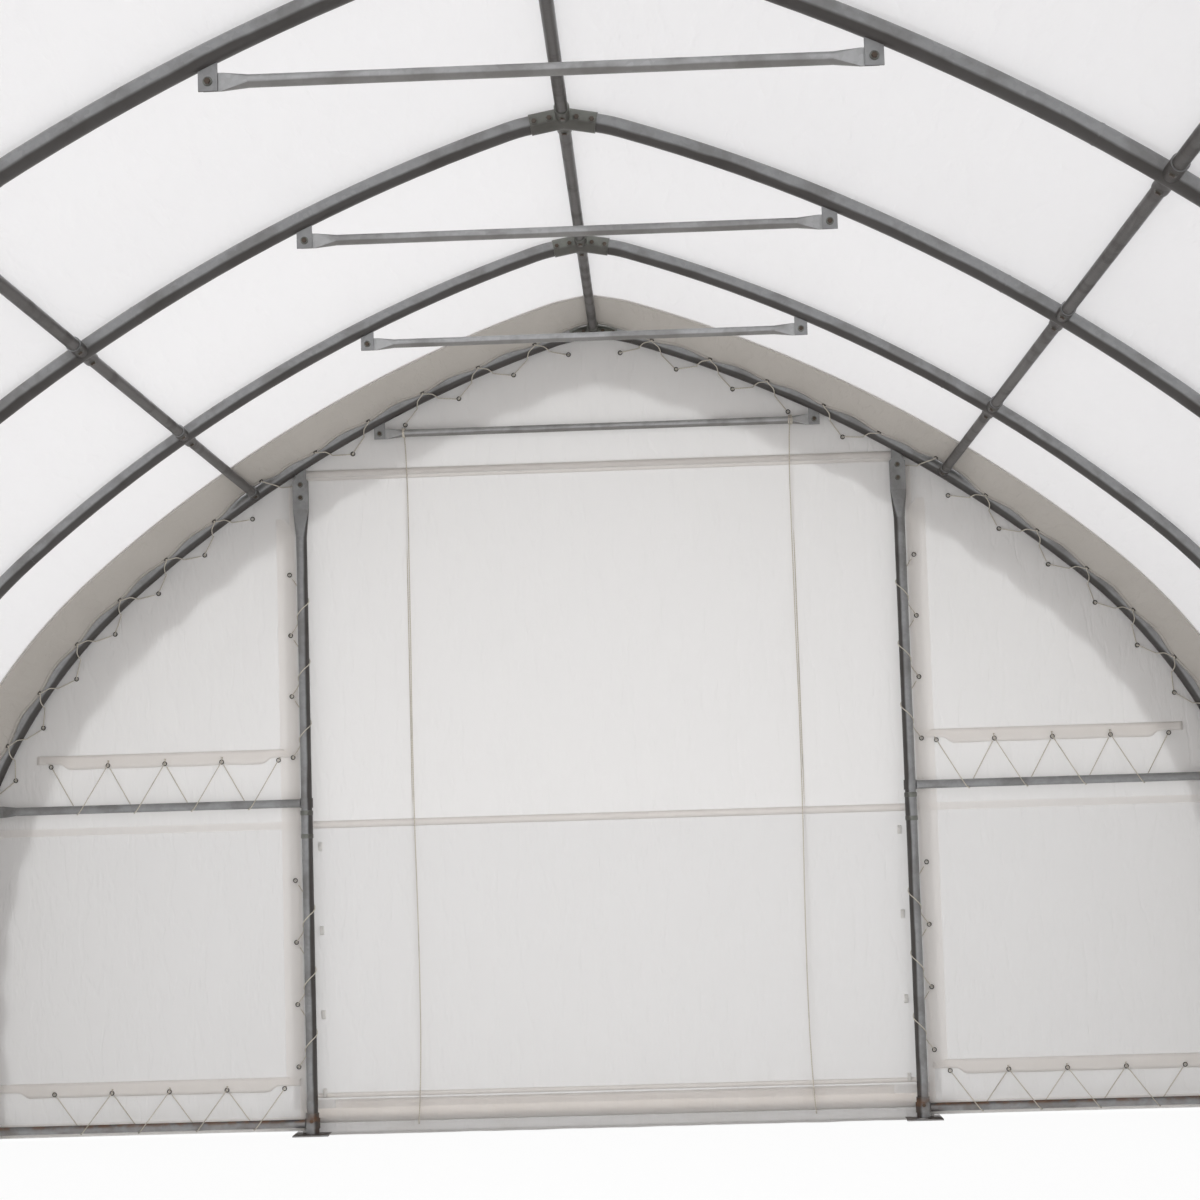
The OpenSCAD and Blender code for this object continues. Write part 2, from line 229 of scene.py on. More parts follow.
def turned(section: list[tuple[float, float]], steps: int, closed: bool) -> bpy.types.Mesh:
    """Turns a section about Z into a small mesh that is then placed many times.

    Args:
        section: Points of the section, as radius and height.
        steps: Number of steps round.
        closed: Whether the section closes on itself, as a ring's does.

    Returns:
        The mesh.
    """
    shape = bmesh.new()
    verts = [shape.verts.new((r, 0, h)) for r, h in section]
    pairs = list(zip(verts, verts[1:])) + ([(verts[-1], verts[0])] if closed else [])
    edges = [shape.edges.new(p) for p in pairs]
    bmesh.ops.spin(shape, geom=[*verts, *edges], cent=(0, 0, 0), axis=(0, 0, 1),
                   angle=math.tau, steps=steps, use_merge=True)
    bmesh.ops.remove_doubles(shape, verts=shape.verts, dist=1e-5)
    bmesh.ops.recalc_face_normals(shape, faces=shape.faces)
    mesh = bpy.data.meshes.new("turned")
    shape.to_mesh(mesh)
    shape.free()
    return mesh


def ring_section(radius: float, thick: float, points: int = 5) -> list[tuple[float, float]]:
    """Returns the round section of a ring of a radius and a wire's radius."""
    return [(radius + thick * math.cos(math.tau * k / points),
             thick * math.sin(math.tau * k / points)) for k in range(points)]


@dataclass
class Fittings:
    """Many copies of one small mesh, gathered into a single piece."""

    name: str
    unit: bpy.types.Mesh
    places: list[Matrix] = field(default_factory=list)

    def put(self, at: Vector, axis: Vector, size: float = 1.0) -> None:
        """Adds a copy.

        Args:
            at: Where its origin goes.
            axis: Where its Z points.
            size: Its scale.
        """
        turn = Vector(axis).to_track_quat("Z", "Y").to_matrix().to_4x4()
        self.places.append(Matrix.Translation(at) @ turn @ Matrix.Scale(size, 4))

    def build(self, smooth: bool = True) -> bpy.types.Object:
        """Joins the copies into one piece.

        Args:
            smooth: Whether the faces are shaded smooth.

        Returns:
            The piece.
        """
        shape = bmesh.new()
        for place in self.places:
            known = len(shape.verts)
            shape.from_mesh(self.unit)
            shape.verts.ensure_lookup_table()
            bmesh.ops.transform(shape, matrix=place, verts=shape.verts[known:])
        return new_object(self.name, shape, smooth)


def line_curve(name: str, routes: list[Route], radius: float, sides: int) -> bpy.types.Object:
    """Makes round cords along routes.

    Args:
        name: The piece's name.
        routes: One route for each cord.
        radius: The cord's radius.
        sides: The bevel resolution of the section.

    Returns:
        The curve object.
    """
    data = bpy.data.curves.new(name, "CURVE")
    data.dimensions = "3D"
    data.bevel_depth = radius
    data.bevel_resolution = sides
    data.use_fill_caps = True
    for route in routes:
        spline = data.splines.new("POLY")
        spline.points.add(len(route) - 1)
        for point, at in zip(spline.points, route):
            point.co = (*at, 1)
        spline.use_smooth = True
    piece = bpy.data.objects.new(name, data)
    bpy.context.scene.collection.objects.link(piece)
    return piece


def as_mesh(curve: bpy.types.Object) -> bpy.types.Object:
    """Turns a curve object into a mesh object of the same name."""
    name = curve.name
    mesh = bpy.data.meshes.new_from_object(curve)
    bpy.data.objects.remove(curve)
    piece = bpy.data.objects.new(name, mesh)
    mesh.name = name
    bpy.context.scene.collection.objects.link(piece)
    return piece


# --- sizes ---


@dataclass(frozen=True)
class ArchProfile:
    """The centreline of an arch, measured from the ridge down each side."""

    half: float = 3.015
    crown: float = 3.626
    eave_r: float = 2.400
    eave_deg: float = 49.0
    roof_deg: float = 72.0
    ridge_r: float = 0.600
    ridge_deg: float = 79.5
    arm: float = 0.110

    @staticmethod
    def along(degrees: float) -> Vector:
        """Returns the unit direction at an angle from the X axis, as across and up."""
        return Vector((math.cos(math.radians(degrees)), math.sin(math.radians(degrees))))

    @cached_property
    def arm_end(self) -> Vector:
        """The end of the ridge connector's sloping arm."""
        a = self.along(self.ridge_deg)
        return Vector((self.arm * a.y, self.crown - self.arm * a.x))

    @cached_property
    def ridge_c(self) -> Vector:
        """The centre of the short bend beside the ridge."""
        return self.arm_end - self.ridge_r * self.along(self.ridge_deg)

    @cached_property
    def roof_end(self) -> Vector:
        """Where the roof bend meets the short bend."""
        return self.ridge_c + self.ridge_r * self.along(self.roof_deg)

    @cached_property
    def roof_r(self) -> float:
        """The radius of the long roof bend."""
        low, high = self.along(self.eave_deg).x, self.along(self.roof_deg).x
        return (self.half - self.eave_r * (1 - low) - self.roof_end.x) / (low - high)

    @cached_property
    def roof_c(self) -> Vector:
        """The centre of the roof bend."""
        return self.roof_end - self.roof_r * self.along(self.roof_deg)

    @cached_property
    def eave_c(self) -> Vector:
        """The centre of the eave bend."""
        return self.roof_c + (self.roof_r - self.eave_r) * self.along(self.eave_deg)

    @cached_property
    def bends(self) -> list[tuple[Vector, float, float, float]]:
        """The three bends from the ridge down: centre, radius, first and last angle."""
        return [(self.ridge_c, self.ridge_r, self.ridge_deg, self.roof_deg),
                (self.roof_c, self.roof_r, self.roof_deg, self.eave_deg),
                (self.eave_c, self.eave_r, self.eave_deg, 0.0)]

    @cached_property
    def length(self) -> float:
        """The length of half an arch, from the ridge to the ground."""
        return self.arm + self.eave_c.y + sum(r * math.radians(a - b)
                                              for _, r, a, b in self.bends)

    def at(self, s: float) -> tuple[Vector, Vector]:
        """Finds a point on the arch.

        Args:
            s: Distance from the ridge along the centreline, negative on the left.

        Returns:
            The point and the outward direction there, both as across and up.
        """
        side, left = (-1 if s < 0 else 1), abs(s)
        if left < 1e-6:
            return Vector((0, self.crown)), Vector((0, 1 / self.along(self.ridge_deg).y))
        if left <= self.arm:
            n = self.along(self.ridge_deg)
            p = Vector((left * n.y, self.crown - left * n.x))
            return Vector((side * p.x, p.y)), Vector((side * n.x, n.y))
        left -= self.arm
        for centre, radius, first, last in self.bends:
            span = radius * math.radians(first - last)
            if left <= span:
                n = self.along(first - math.degrees(left / radius))
                p = centre + radius * n
                return Vector((side * p.x, p.y)), Vector((side * n.x, n.y))
            left -= span
        return Vector((side * self.half, self.eave_c.y - left)), Vector((side, 0))

    def point(self, s: float, out: float, y: float) -> Vector:
        """Returns the point at s on the arch, moved outwards by out, at a place along Y."""
        p, n = self.at(s)
        return Vector((p.x + out * n.x, y, p.y + out * n.y))

    def s_at_x(self, x: float, out: float = 0.0) -> float:
        """Finds how far down the arch a distance from the middle lies.

        Args:
            x: Distance from the middle, above the eaves.
            out: Offset of the outline from the centreline.

        Returns:
            The distance from the ridge.
        """
        low, high = 0.0, self.length - self.eave_c.y
        for _ in range(40):
            middle = (low + high) / 2
            low, high = (middle, high) if self.point(middle, out, 0).x < x else (low, middle)
        return (low + high) / 2


@dataclass(frozen=True)
class Plan:
    """The shelter's main sizes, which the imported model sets."""

    profile: ArchProfile = ArchProfile()
    bay: float = 1.524
    end_y: float = 4.572
    tube_r: float = 0.030
    purlin_x: float = 1.580
    lower_deg: float = 8.0
    post_x: float = 1.370
    post_y: float = -0.0083
    post_r: float = 0.025
    rail_r: float = 0.019
    mid_rail: float = 1.490
    base_rail: float = 0.050
    panel_x: float = 1.405
    door_h: float = 2.990
    door_half: float = 1.460
    hem: float = 0.012
    cover_out: float = 0.0363
    wall_y: float = 0.0323
    door_y: float = 0.0366
    valance_y: float = 0.0409
    pipe_y: float = 0.0559
    pipe_z: float = 0.060
    pipe_r: float = 0.017
    roll_y: float = 0.0932
    roll_z: float = 2.930
    rope_x: float = 0.890
    lace_step: float = 0.280

    def arch_rows(self) -> list[float]:
        """Returns the places of the seven arches along Y."""
        return [(i - 3) * self.bay for i in range(7)]

    def purlin_marks(self) -> list[float]:
        """Returns the distances from the ridge of the upper and lower purlins."""
        p = self.profile
        lower = p.length - p.eave_c.y - p.eave_r * math.radians(self.lower_deg)
        return [p.s_at_x(self.purlin_x), lower]

    def cover(self, y: float) -> float:
        """Returns how far out the roof cover lies, which dips between two arches."""
        return self.cover_out - 0.011 * swell(y, self.bay)

    def under_roof(self, x: float) -> float:
        """Returns the height of the arch tube's underside at a distance from the middle."""
        p, n = self.profile.at(self.profile.s_at_x(x))
        return p.y - self.tube_r / n.y

    def eave_x(self, z: float) -> float:
        """Returns the arch's distance from the middle at a height below the eave bend's end."""
        p = self.profile
        return p.half if z < p.eave_c.y else (
            p.eave_c.x + math.sqrt(p.eave_r ** 2 - (z - p.eave_c.y) ** 2))


# --- finishes ---


def tone(red: float, green: float, blue: float) -> tuple[float, float, float, float]:
    """Returns a display colour from 0 to 255 as the linear colour that shaders take."""
    def linear(c: float) -> float:
        """Returns one channel made linear."""
        c /= 255
        return c / 12.92 if c <= 0.04045 else ((c + 0.055) / 1.055) ** 2.4
    return (linear(red), linear(green), linear(blue), 1.0)


class Graph:
    """Adds nodes to one tree and joins them."""

    def __init__(self, tree: bpy.types.NodeTree) -> None:
        """Starts with a tree that is emptied first."""
        tree.nodes.clear()
        self.tree = tree

    def put(self, socket: bpy.types.NodeSocket, value: object) -> None:
        """Links a socket to another one, or sets its value."""
        if isinstance(value, bpy.types.NodeSocket):
            self.tree.links.new(value, socket)
        else:
            socket.default_value = value

    def add(self, kind: str, inputs: dict[str, object] | None = None,
            **settings: object) -> bpy.types.Node:
        """Adds one node.

        Args:
            kind: Its type.
            inputs: Values or links for its inputs, by name.
            **settings: Properties of the node.

        Returns:
            The node.
        """
        made = self.tree.nodes.new(kind)
        for key, value in settings.items():
            setattr(made, key, value)
        for key, value in (inputs or {}).items():
            self.put(made.inputs[key], value)
        return made

    def math(self, operation: str, a: object, b: object = 0.0) -> bpy.types.NodeSocket:
        """Returns the result of a Math node of an operation on a and b."""
        made = self.add("ShaderNodeMath", operation=operation)
        self.put(made.inputs[0], a)
        self.put(made.inputs[1], b)
        return made.outputs[0]

    def blend(self, share: object, a: object, b: object) -> bpy.types.NodeSocket:
        """Returns a colour that lies a share of the way from colour a to colour b."""
        made = self.add("ShaderNodeMix", data_type="RGBA")
        for index, value in ((0, share), (6, a), (7, b)):
            self.put(made.inputs[index], value)
        return made.outputs[2]

    def span(self, value: object, low: float, high: float, to_low: float = 0.0,
             to_high: float = 1.0) -> bpy.types.NodeSocket:
        """Returns a value carried from one range to another and kept inside it.

        Args:
            value: The value or its socket.
            low: Start of the range it comes from.
            high: End of that range.
            to_low: What the start becomes.
            to_high: What the end becomes.

        Returns:
            The carried value's socket.
        """
        made = self.add("ShaderNodeMapRange", {"Value": value, "From Min": low, "From Max": high,
                                               "To Min": to_low, "To Max": to_high},
                        interpolation_type="SMOOTHSTEP")
        return made.outputs["Result"]

    def noise(self, at: object, scale: object, detail: float = 3.0) -> bpy.types.NodeSocket:
        """Returns the value of a Noise texture at a place."""
        made = self.add("ShaderNodeTexNoise", {"Vector": at, "Scale": scale, "Detail": detail})
        return made.outputs[0]

    def stretch(self, at: object, scale: tuple[float, float, float],
                turn: tuple[float, float, float] = (0, 0, 0)) -> bpy.types.NodeSocket:
        """Returns coordinates scaled and turned by a Mapping node."""
        made = self.add("ShaderNodeMapping", {"Vector": at, "Scale": scale, "Rotation": turn})
        return made.outputs[0]

    def axis(self, vector: object, name: str) -> bpy.types.NodeSocket:
        """Returns one axis of a vector."""
        return self.add("ShaderNodeSeparateXYZ", {"Vector": vector}).outputs[name]


class Effects:
    """The shader groups that several finishes share, each built once."""

    def __init__(self) -> None:
        """Builds the groups."""
        self.weave = self._weave()
        self.creases = self._creases()
        self.patches = self._patches()

    @staticmethod
    def _start(name: str, floats: dict[str, float], result: str
               ) -> tuple[Graph, bpy.types.Node, bpy.types.Node]:
        """Starts a group that reads a place and some numbers and gives one value.

        Args:
            name: The group's name.
            floats: Its number inputs and their defaults.
            result: The name of its output.

        Returns:
            The graph, the group's input node and its output node.
        """
        tree = bpy.data.node_groups.new(name, "ShaderNodeTree")
        tree.interface.new_socket("Place", in_out="INPUT", socket_type="NodeSocketVector")
        for key, value in floats.items():
            made = tree.interface.new_socket(key, in_out="INPUT", socket_type="NodeSocketFloat")
            made.default_value = value
        tree.interface.new_socket(result, in_out="OUTPUT", socket_type="NodeSocketFloat")
        graph = Graph(tree)
        return graph, graph.add("NodeGroupInput"), graph.add("NodeGroupOutput")

    def _weave(self) -> bpy.types.NodeTree:
        """Builds the over-and-under ribs of a woven cloth under its coating."""
        g, given, out = self._start("Cloth weave", {"Pitch": 0.004}, "Height")
        turns = g.math("DIVIDE", math.pi, given.outputs["Pitch"])
        ribs = []
        for name in ("X", "Y"):
            wave = g.math("SINE", g.math("MULTIPLY", g.axis(given.outputs["Place"], name), turns))
            ribs.append(g.math("ABSOLUTE", wave))
        g.put(out.inputs["Height"], g.math("MAXIMUM", *ribs))
        return g.tree

    def _creases(self) -> bpy.types.NodeTree:
        """Builds the soft folds and sharper creases of a sheet that was packed folded."""
        g, given, out = self._start("Sheet creases", {"Scale": 1.0}, "Height")
        place = given.outputs["Place"]
        broad = g.noise(place, given.outputs["Scale"], 2.0)
        slant = g.stretch(place, (2.6, 0.7, 1), (0, 0, 0.6))
        sharp = g.noise(slant, g.math("MULTIPLY", given.outputs["Scale"], 2.2), 4.0)
        ridge = g.math("ABSOLUTE", g.math("SUBTRACT", sharp, 0.5))
        fold = g.span(ridge, 0.0, 0.07, 1.0, 0.0)
        g.put(out.inputs["Height"], g.math("ADD", g.math("MULTIPLY", broad, 2.0),
                                           g.math("MULTIPLY", fold, 0.22)))
        return g.tree

    def _patches(self) -> bpy.types.NodeTree:
        """Builds cloudy patches with a threshold, for grime, dust and rust."""
        g, given, out = self._start("Grime patches", {"Scale": 4.0, "Amount": 0.5}, "Mask")
        coarse = g.noise(given.outputs["Place"], given.outputs["Scale"], 5.0)
        low = g.math("SUBTRACT", 0.78, g.math("MULTIPLY", given.outputs["Amount"], 0.55))
        over = g.math("MULTIPLY", g.math("SUBTRACT", coarse, low), 5.0)
        g.put(out.inputs["Mask"], g.span(over, 0.0, 1.0))
        return g.tree

    def use(self, g: Graph, group: bpy.types.NodeTree, place: object,
            **values: float) -> bpy.types.NodeSocket:
        """Places a group in a material.

        Args:
            g: The material's graph.
            group: The group.
            place: The coordinates it reads.
            **values: Its number inputs.

        Returns:
            Its output.
        """
        made = g.add("ShaderNodeGroup", node_tree=group)
        g.put(made.inputs["Place"], place)
        for key, value in values.items():
            made.inputs[key].default_value = value
        return made.outputs[0]


def new_material(name: str) -> tuple[bpy.types.Material, Graph]:
    """Returns a new material and a graph on its empty tree."""
    made = bpy.data.materials.new(name)
    made.use_nodes = True
    return made, Graph(made.node_tree)


@dataclass(frozen=True)
class CoatedSheet:
    """A coated woven sheet that lets part of the daylight through."""

    name: str
    colour: tuple[float, float, float]
    soiled: tuple[float, float, float]
    through: float
    weave: float = 0.005
    soil: float = 0.35
    crease: float = 1.3
    relief: float = 0.006
    # Height below which the sheet is a little darker; 0 for none.
    darker_below: float = 0.0

    def build(self, effects: Effects) -> bpy.types.Material:
        """Builds the material.

        Args:
            effects: The shared groups.

        Returns:
            The material.
        """
        made, g = new_material(self.name)
        flat = g.add("ShaderNodeUVMap", uv_map=CLOTH_MAP).outputs[0]
        place = g.add("ShaderNodeTexCoord").outputs["Object"]
        weave = effects.use(g, effects.weave, flat, Pitch=self.weave)
        creases = effects.use(g, effects.creases, flat, Scale=self.crease)
        soiled = effects.use(g, effects.patches, place, Scale=1.6, Amount=self.soil)
        near_ground = g.span(g.axis(place, "Z"), 0.02, 0.30, 1.0, 0.0)
        splash = g.math("MULTIPLY", near_ground, g.span(g.noise(place, 9.0, 5.0), 0.3, 0.75))
        dirt = g.math("MAXIMUM", g.math("MULTIPLY", soiled, 0.35), g.math("MULTIPLY", splash, 0.3))
        thread = g.span(weave, 0.0, 1.0, 0.0, 1.0)
        clean = g.blend(g.math("MULTIPLY", thread, 0.10), tone(*self.colour), tone(*self.soiled))
        colour = g.blend(dirt, clean, tone(*self.soiled))
        # Below this height the colour is 0.962 of the sheet's colour.
        if self.darker_below:
            below = g.span(g.axis(place, "Z"), self.darker_below - 0.01, self.darker_below + 0.01,
                           1.0, 0.0)
            lower = tone(*[c * 0.962 for c in self.colour])
            colour = g.blend(below, colour, g.blend(dirt, lower, tone(*self.soiled)))
        height = g.math("ADD", g.math("MULTIPLY", weave, 0.03), creases)
        bump = g.add("ShaderNodeBump", {"Height": height, "Distance": self.relief,
                                        "Strength": 0.8}).outputs[0]
        rough = g.span(g.math("ADD", soiled, g.noise(place, 3.0)), 0.3, 1.6, 0.42, 0.72)
        face = g.add("ShaderNodeBsdfPrincipled", {"Base Color": colour, "Roughness": rough,
                                                  "Normal": bump, "Specular IOR Level": 0.3})
        back = g.add("ShaderNodeBsdfTranslucent", {"Color": colour, "Normal": bump})
        both = g.add("ShaderNodeMixShader")
        for index, value in enumerate((self.through, face.outputs[0], back.outputs[0])):
            g.put(both.inputs[index], value)
        g.add("ShaderNodeOutputMaterial", {"Surface": both.outputs[0]})
        return made


@dataclass(frozen=True)
class GalvanisedSteel:
    """Zinc-coated tube with a spangle, rust near the ground, and painted shade on the side that
    faces in towards the shelter's middle.
    """

    name: str
    colour: tuple[float, float, float] = (156, 157, 158)
    # shade and under are the colour and strength of the painted shade on each tube's inward side;
    # centre is the height of the line along the middle that this side faces.
    shade: tuple[float, float, float] = (46, 40, 36)
    metallic: float = 0.45
    under: float = 0.92
    centre: float = 1.1

    def build(self, effects: Effects) -> bpy.types.Material:
        """Builds the material.

        Args:
            effects: The shared groups.

        Returns:
            The material.
        """
        made, g = new_material(self.name)
        place = g.add("ShaderNodeTexCoord").outputs["Object"]
        normal = g.add("ShaderNodeNewGeometry").outputs["Normal"]
        from_centre = g.add("ShaderNodeVectorMath", operation="NORMALIZE")
        g.put(from_centre.inputs[0], g.add("ShaderNodeCombineXYZ", {
            "X": g.axis(place, "X"),
            "Z": g.math("SUBTRACT", g.axis(place, "Z"), self.centre)}).outputs[0])
        facing = g.add("ShaderNodeVectorMath", operation="DOT_PRODUCT")
        g.put(facing.inputs[0], normal)
        g.put(facing.inputs[1], from_centre.outputs[0])
        up = facing.outputs["Value"]
        cells = g.add("ShaderNodeTexVoronoi", {"Vector": place, "Scale": 70.0})
        spangle = g.axis(cells.outputs["Color"], "X")
        clouds = effects.use(g, effects.patches, place, Scale=7.0, Amount=0.6)
        # Painted shade: strongest where the surface faces in towards the middle, away from the
        # daylight outside.
        lower = g.span(g.math("ADD", up, g.math("MULTIPLY", g.noise(place, 5.0), 0.4)),
                       -0.26, 0.06, self.under, 0.0)
        zinc = g.blend(g.math("MULTIPLY", spangle, 0.35), tone(*self.colour),
                       tone(*[c * 0.82 for c in self.colour]))
        dull = g.blend(g.math("MULTIPLY", clouds, 0.38), zinc, tone(104, 101, 97))
        with_painted_shade = g.blend(lower, dull, tone(*self.shade))
        height = g.axis(place, "Z")
        low = g.math("MULTIPLY", g.span(height, 0.050, 0.062), g.span(height, 0.110, 0.074))
        rust = g.math("MULTIPLY", g.math("MAXIMUM", low, g.span(height, 0.30, 0.02, 0.0, 0.25)),
                      g.span(g.noise(place, 26.0, 6.0), 0.34, 0.60))
        colour = g.blend(g.math("MULTIPLY", rust, 0.65), with_painted_shade, tone(118, 84, 58))
        rough = g.span(g.math("ADD", g.math("MULTIPLY", clouds, 0.5), rust), 0.0, 1.2, 0.38, 0.75)
        bump = g.add("ShaderNodeBump", {"Height": g.math("ADD", g.noise(place, 160.0),
                                                         g.math("MULTIPLY", spangle, 0.4)),
                                        "Distance": 0.0006, "Strength": 0.5}).outputs[0]
        metal = g.span(g.math("ADD", rust, lower), 0.0, 1.0, self.metallic, 0.1)
        face = g.add("ShaderNodeBsdfPrincipled", {"Base Color": colour, "Roughness": rough,
                                                  "Metallic": metal, "Normal": bump})
        g.add("ShaderNodeOutputMaterial", {"Surface": face.outputs[0]})
        return made


@dataclass(frozen=True)
class Cord:
    """Twisted synthetic cord, a little soiled, with painted shade in the grooves between its
    strands.
    """

    name: str
    colour: tuple[float, float, float] = (214, 207, 194)
    lay: float = 420.0

    def build(self, effects: Effects) -> bpy.types.Material:
        """Builds the material.

        Args:
            effects: The shared groups.

        Returns:
            The material.
        """
        made, g = new_material(self.name)
        place = g.add("ShaderNodeTexCoord").outputs["Object"]
        slant = g.stretch(place, (1, 1, 1), (0.7, 0.5, 0.3))
        strands = g.math("ABSOLUTE", g.math("SINE", g.math("MULTIPLY", g.axis(slant, "Z"),
                                                           self.lay)))
        soil = effects.use(g, effects.patches, place, Scale=12.0, Amount=0.5)
        # Painted shade in the grooves between the strands, joined with the real soil.
        groove_shade = g.span(strands, 0.0, 0.5, 0.45, 0.0)
        colour = g.blend(g.math("MAXIMUM", groove_shade, g.math("MULTIPLY", soil, 0.35)),
                         tone(*self.colour), tone(*[c * 0.68 for c in self.colour]))
        bump = g.add("ShaderNodeBump", {"Height": strands, "Distance": 0.001}).outputs[0]
        rough = g.span(strands, 0.0, 1.0, 0.9, 0.7)
        face = g.add("ShaderNodeBsdfPrincipled", {"Base Color": colour, "Roughness": rough,
                                                  "Normal": bump})
        g.add("ShaderNodeOutputMaterial", {"Surface": face.outputs[0]})
        return made


class Finishes:
    """Every material of the shelter."""

    def __init__(self) -> None:
        """Builds the shared groups and then the materials."""
        e = Effects()
        self.tube = GalvanisedSteel("Galvanised tube").build(e)
        # The collar ties get a lighter copy of the tube finish with weaker painted shade, which is
        # a painted highlight.
        self.tie = GalvanisedSteel("Bright tie tube", (186, 187, 188), (96, 92, 87), 0.5,
                                   0.75).build(e)
        self.connector = GalvanisedSteel("Connector zinc", (128, 130, 124), (50, 44, 38),
                                         0.5, 0.7).build(e)
        self.bolt = GalvanisedSteel("Weathered bolt", (86, 74, 64), (52, 40, 32), 0.4,
                                    0.6).build(e)
        self.grommet = GalvanisedSteel("Eyelet steel", (84, 80, 75), (52, 47, 42), 0.5,
                                       0.3).build(e)
        self.roof = CoatedSheet("Roof sheet", (247, 246, 247), (234, 232, 230), 0.47,
                                soil=0.12).build(e)
        self.wall = CoatedSheet("Wall sheet", (243, 242, 241), (220, 217, 212), 0.285,
                                soil=0.12, crease=1.8, darker_below=SEAM_Z).build(e)
        self.door = CoatedSheet("Door sheet", (244, 243, 242), (222, 219, 214), 0.245,
                                soil=0.12, crease=1.5, darker_below=SEAM_Z).build(e)
        self.seam = CoatedSheet("Welded seam", (254, 252, 250), (244, 241, 237), 0.64,
                                soil=0.06, crease=3.0, relief=0.002).build(e)
        self.fold = CoatedSheet("Folded cover end", (244, 243, 243), (226, 222, 216), 0.12,
                                soil=0.12).build(e)
        self.skirt = CoatedSheet("Skirt sheet", (195, 190, 183), (176, 170, 162), 0.08, soil=0.1,
                                 crease=2.2).build(e)
        self.webbing = CoatedSheet("Webbing", (238, 236, 232), (206, 202, 196), 0.15,
                                   weave=0.003, crease=6.0).build(e)
        self.rope = Cord("Pull rope").build(e)
        self.lace = Cord("Lacing cord", (212, 205, 192), 620.0).build(e)


# --- camera, light and floor ---


@dataclass(frozen=True)
class Studio:
    """The camera, the soft daylight and the pale floor."""

    eye: tuple[float, float, float] = (0.257, -5.5, 1.303)
    yaw: float = -0.027
    pitch: float = 0.079
    roll: float = -0.030
    lens: float = 66.47
    shift_y: float = 0.05
    fill: float = 12.5

    def place_camera(self) -> None:
        """Makes the camera and gives it to the scene."""
        ahead = Vector((math.sin(self.yaw) * math.cos(self.pitch),
                        math.cos(self.yaw) * math.cos(self.pitch), math.sin(self.pitch)))
        right = Vector((math.cos(self.yaw), -math.sin(self.yaw), 0))
        up = right.cross(ahead)
        c, s = math.cos(self.roll), math.sin(self.roll)
        across, upwards = c * right + s * up, c * up - s * right
        data = bpy.data.cameras.new("camera")
        data.lens, data.sensor_width, data.shift_y = self.lens, 36.0, self.shift_y
        data.clip_start, data.clip_end = 0.05, 200.0
        camera = bpy.data.objects.new("camera", data)
        camera.matrix_world = Matrix((
            (across.x, upwards.x, -ahead.x, self.eye[0]),
            (across.y, upwards.y, -ahead.y, self.eye[1]),
            (across.z, upwards.z, -ahead.z, self.eye[2]),
            (0, 0, 0, 1)))
        bpy.context.scene.collection.objects.link(camera)
        bpy.context.scene.camera = camera

    def light(self) -> None:
        """Sets an even white world and a wide soft sun."""
        bpy.context.scene.view_settings.view_transform = "Standard"
        world = bpy.data.worlds.new("daylight")
        bpy.context.scene.world = world
        world.use_nodes = True
        g = Graph(world.node_tree)
        path = g.add("ShaderNodeLightPath")
        seen = g.math("MAXIMUM", path.outputs["Is Camera Ray"], path.outputs["Is Glossy Ray"])
        level = g.span(seen, 0.0, 1.0, 0.90, 1.0)
        sky = g.add("ShaderNodeBackground", {"Color": (1, 1, 1, 1), "Strength": level})
        g.add("ShaderNodeOutputWorld", {"Surface": sky.outputs[0]})
        data = bpy.data.lights.new("sun", "SUN")
        data.energy, data.angle = 1.0, math.radians(50)
        sun = bpy.data.objects.new("sun", data)
        sun.rotation_euler = (math.radians(-22), math.radians(-24), 0)
        bpy.context.scene.collection.objects.link(sun)
        for index, y in enumerate((-3.2, -0.6, 2.0)):
            data = bpy.data.lights.new(f"soft_box_{index}", "AREA")
            data.shape, data.size, data.energy = "DISK", 2.6, self.fill
            lamp = bpy.data.objects.new(f"soft_box_{index}", data)
            lamp.location = (0, y, 0.9)
            lamp.rotation_euler = (math.radians(115), 0, 0)
            lamp.visible_camera = lamp.visible_glossy = False
            bpy.context.scene.collection.objects.link(lamp)

    def floor(self) -> None:
        """Lays the pale floor, which shows white to the camera and keeps a soft shadow."""
        shape = bmesh.new()
        bmesh.ops.create_grid(shape, x_segments=8, y_segments=8, size=45)
        bmesh.ops.translate(shape, verts=shape.verts, vec=(0, 0, -0.002))
        piece = new_object("floor", shape, smooth=False)
        made, g = new_material("Pale floor")
        path = g.add("ShaderNodeLightPath")
        seen = g.math("MAXIMUM", path.outputs["Is Camera Ray"], path.outputs["Is Glossy Ray"])
        plain = g.add("ShaderNodeBsdfPrincipled", {"Base Color": (0.86, 0.86, 0.86, 1),
                                                   "Roughness": 0.9})
        white = g.add("ShaderNodeEmission", {"Color": (1, 1, 1, 1), "Strength": 1.0})
        both = g.add("ShaderNodeMixShader")
        for index, value in enumerate((g.math("MULTIPLY", seen, 0.95), plain.outputs[0],
                                       white.outputs[0])):
            g.put(both.inputs[index], value)
        g.add("ShaderNodeOutputMaterial", {"Surface": both.outputs[0]})
        piece.data.materials.append(made)


# --- sub-assemblies ---


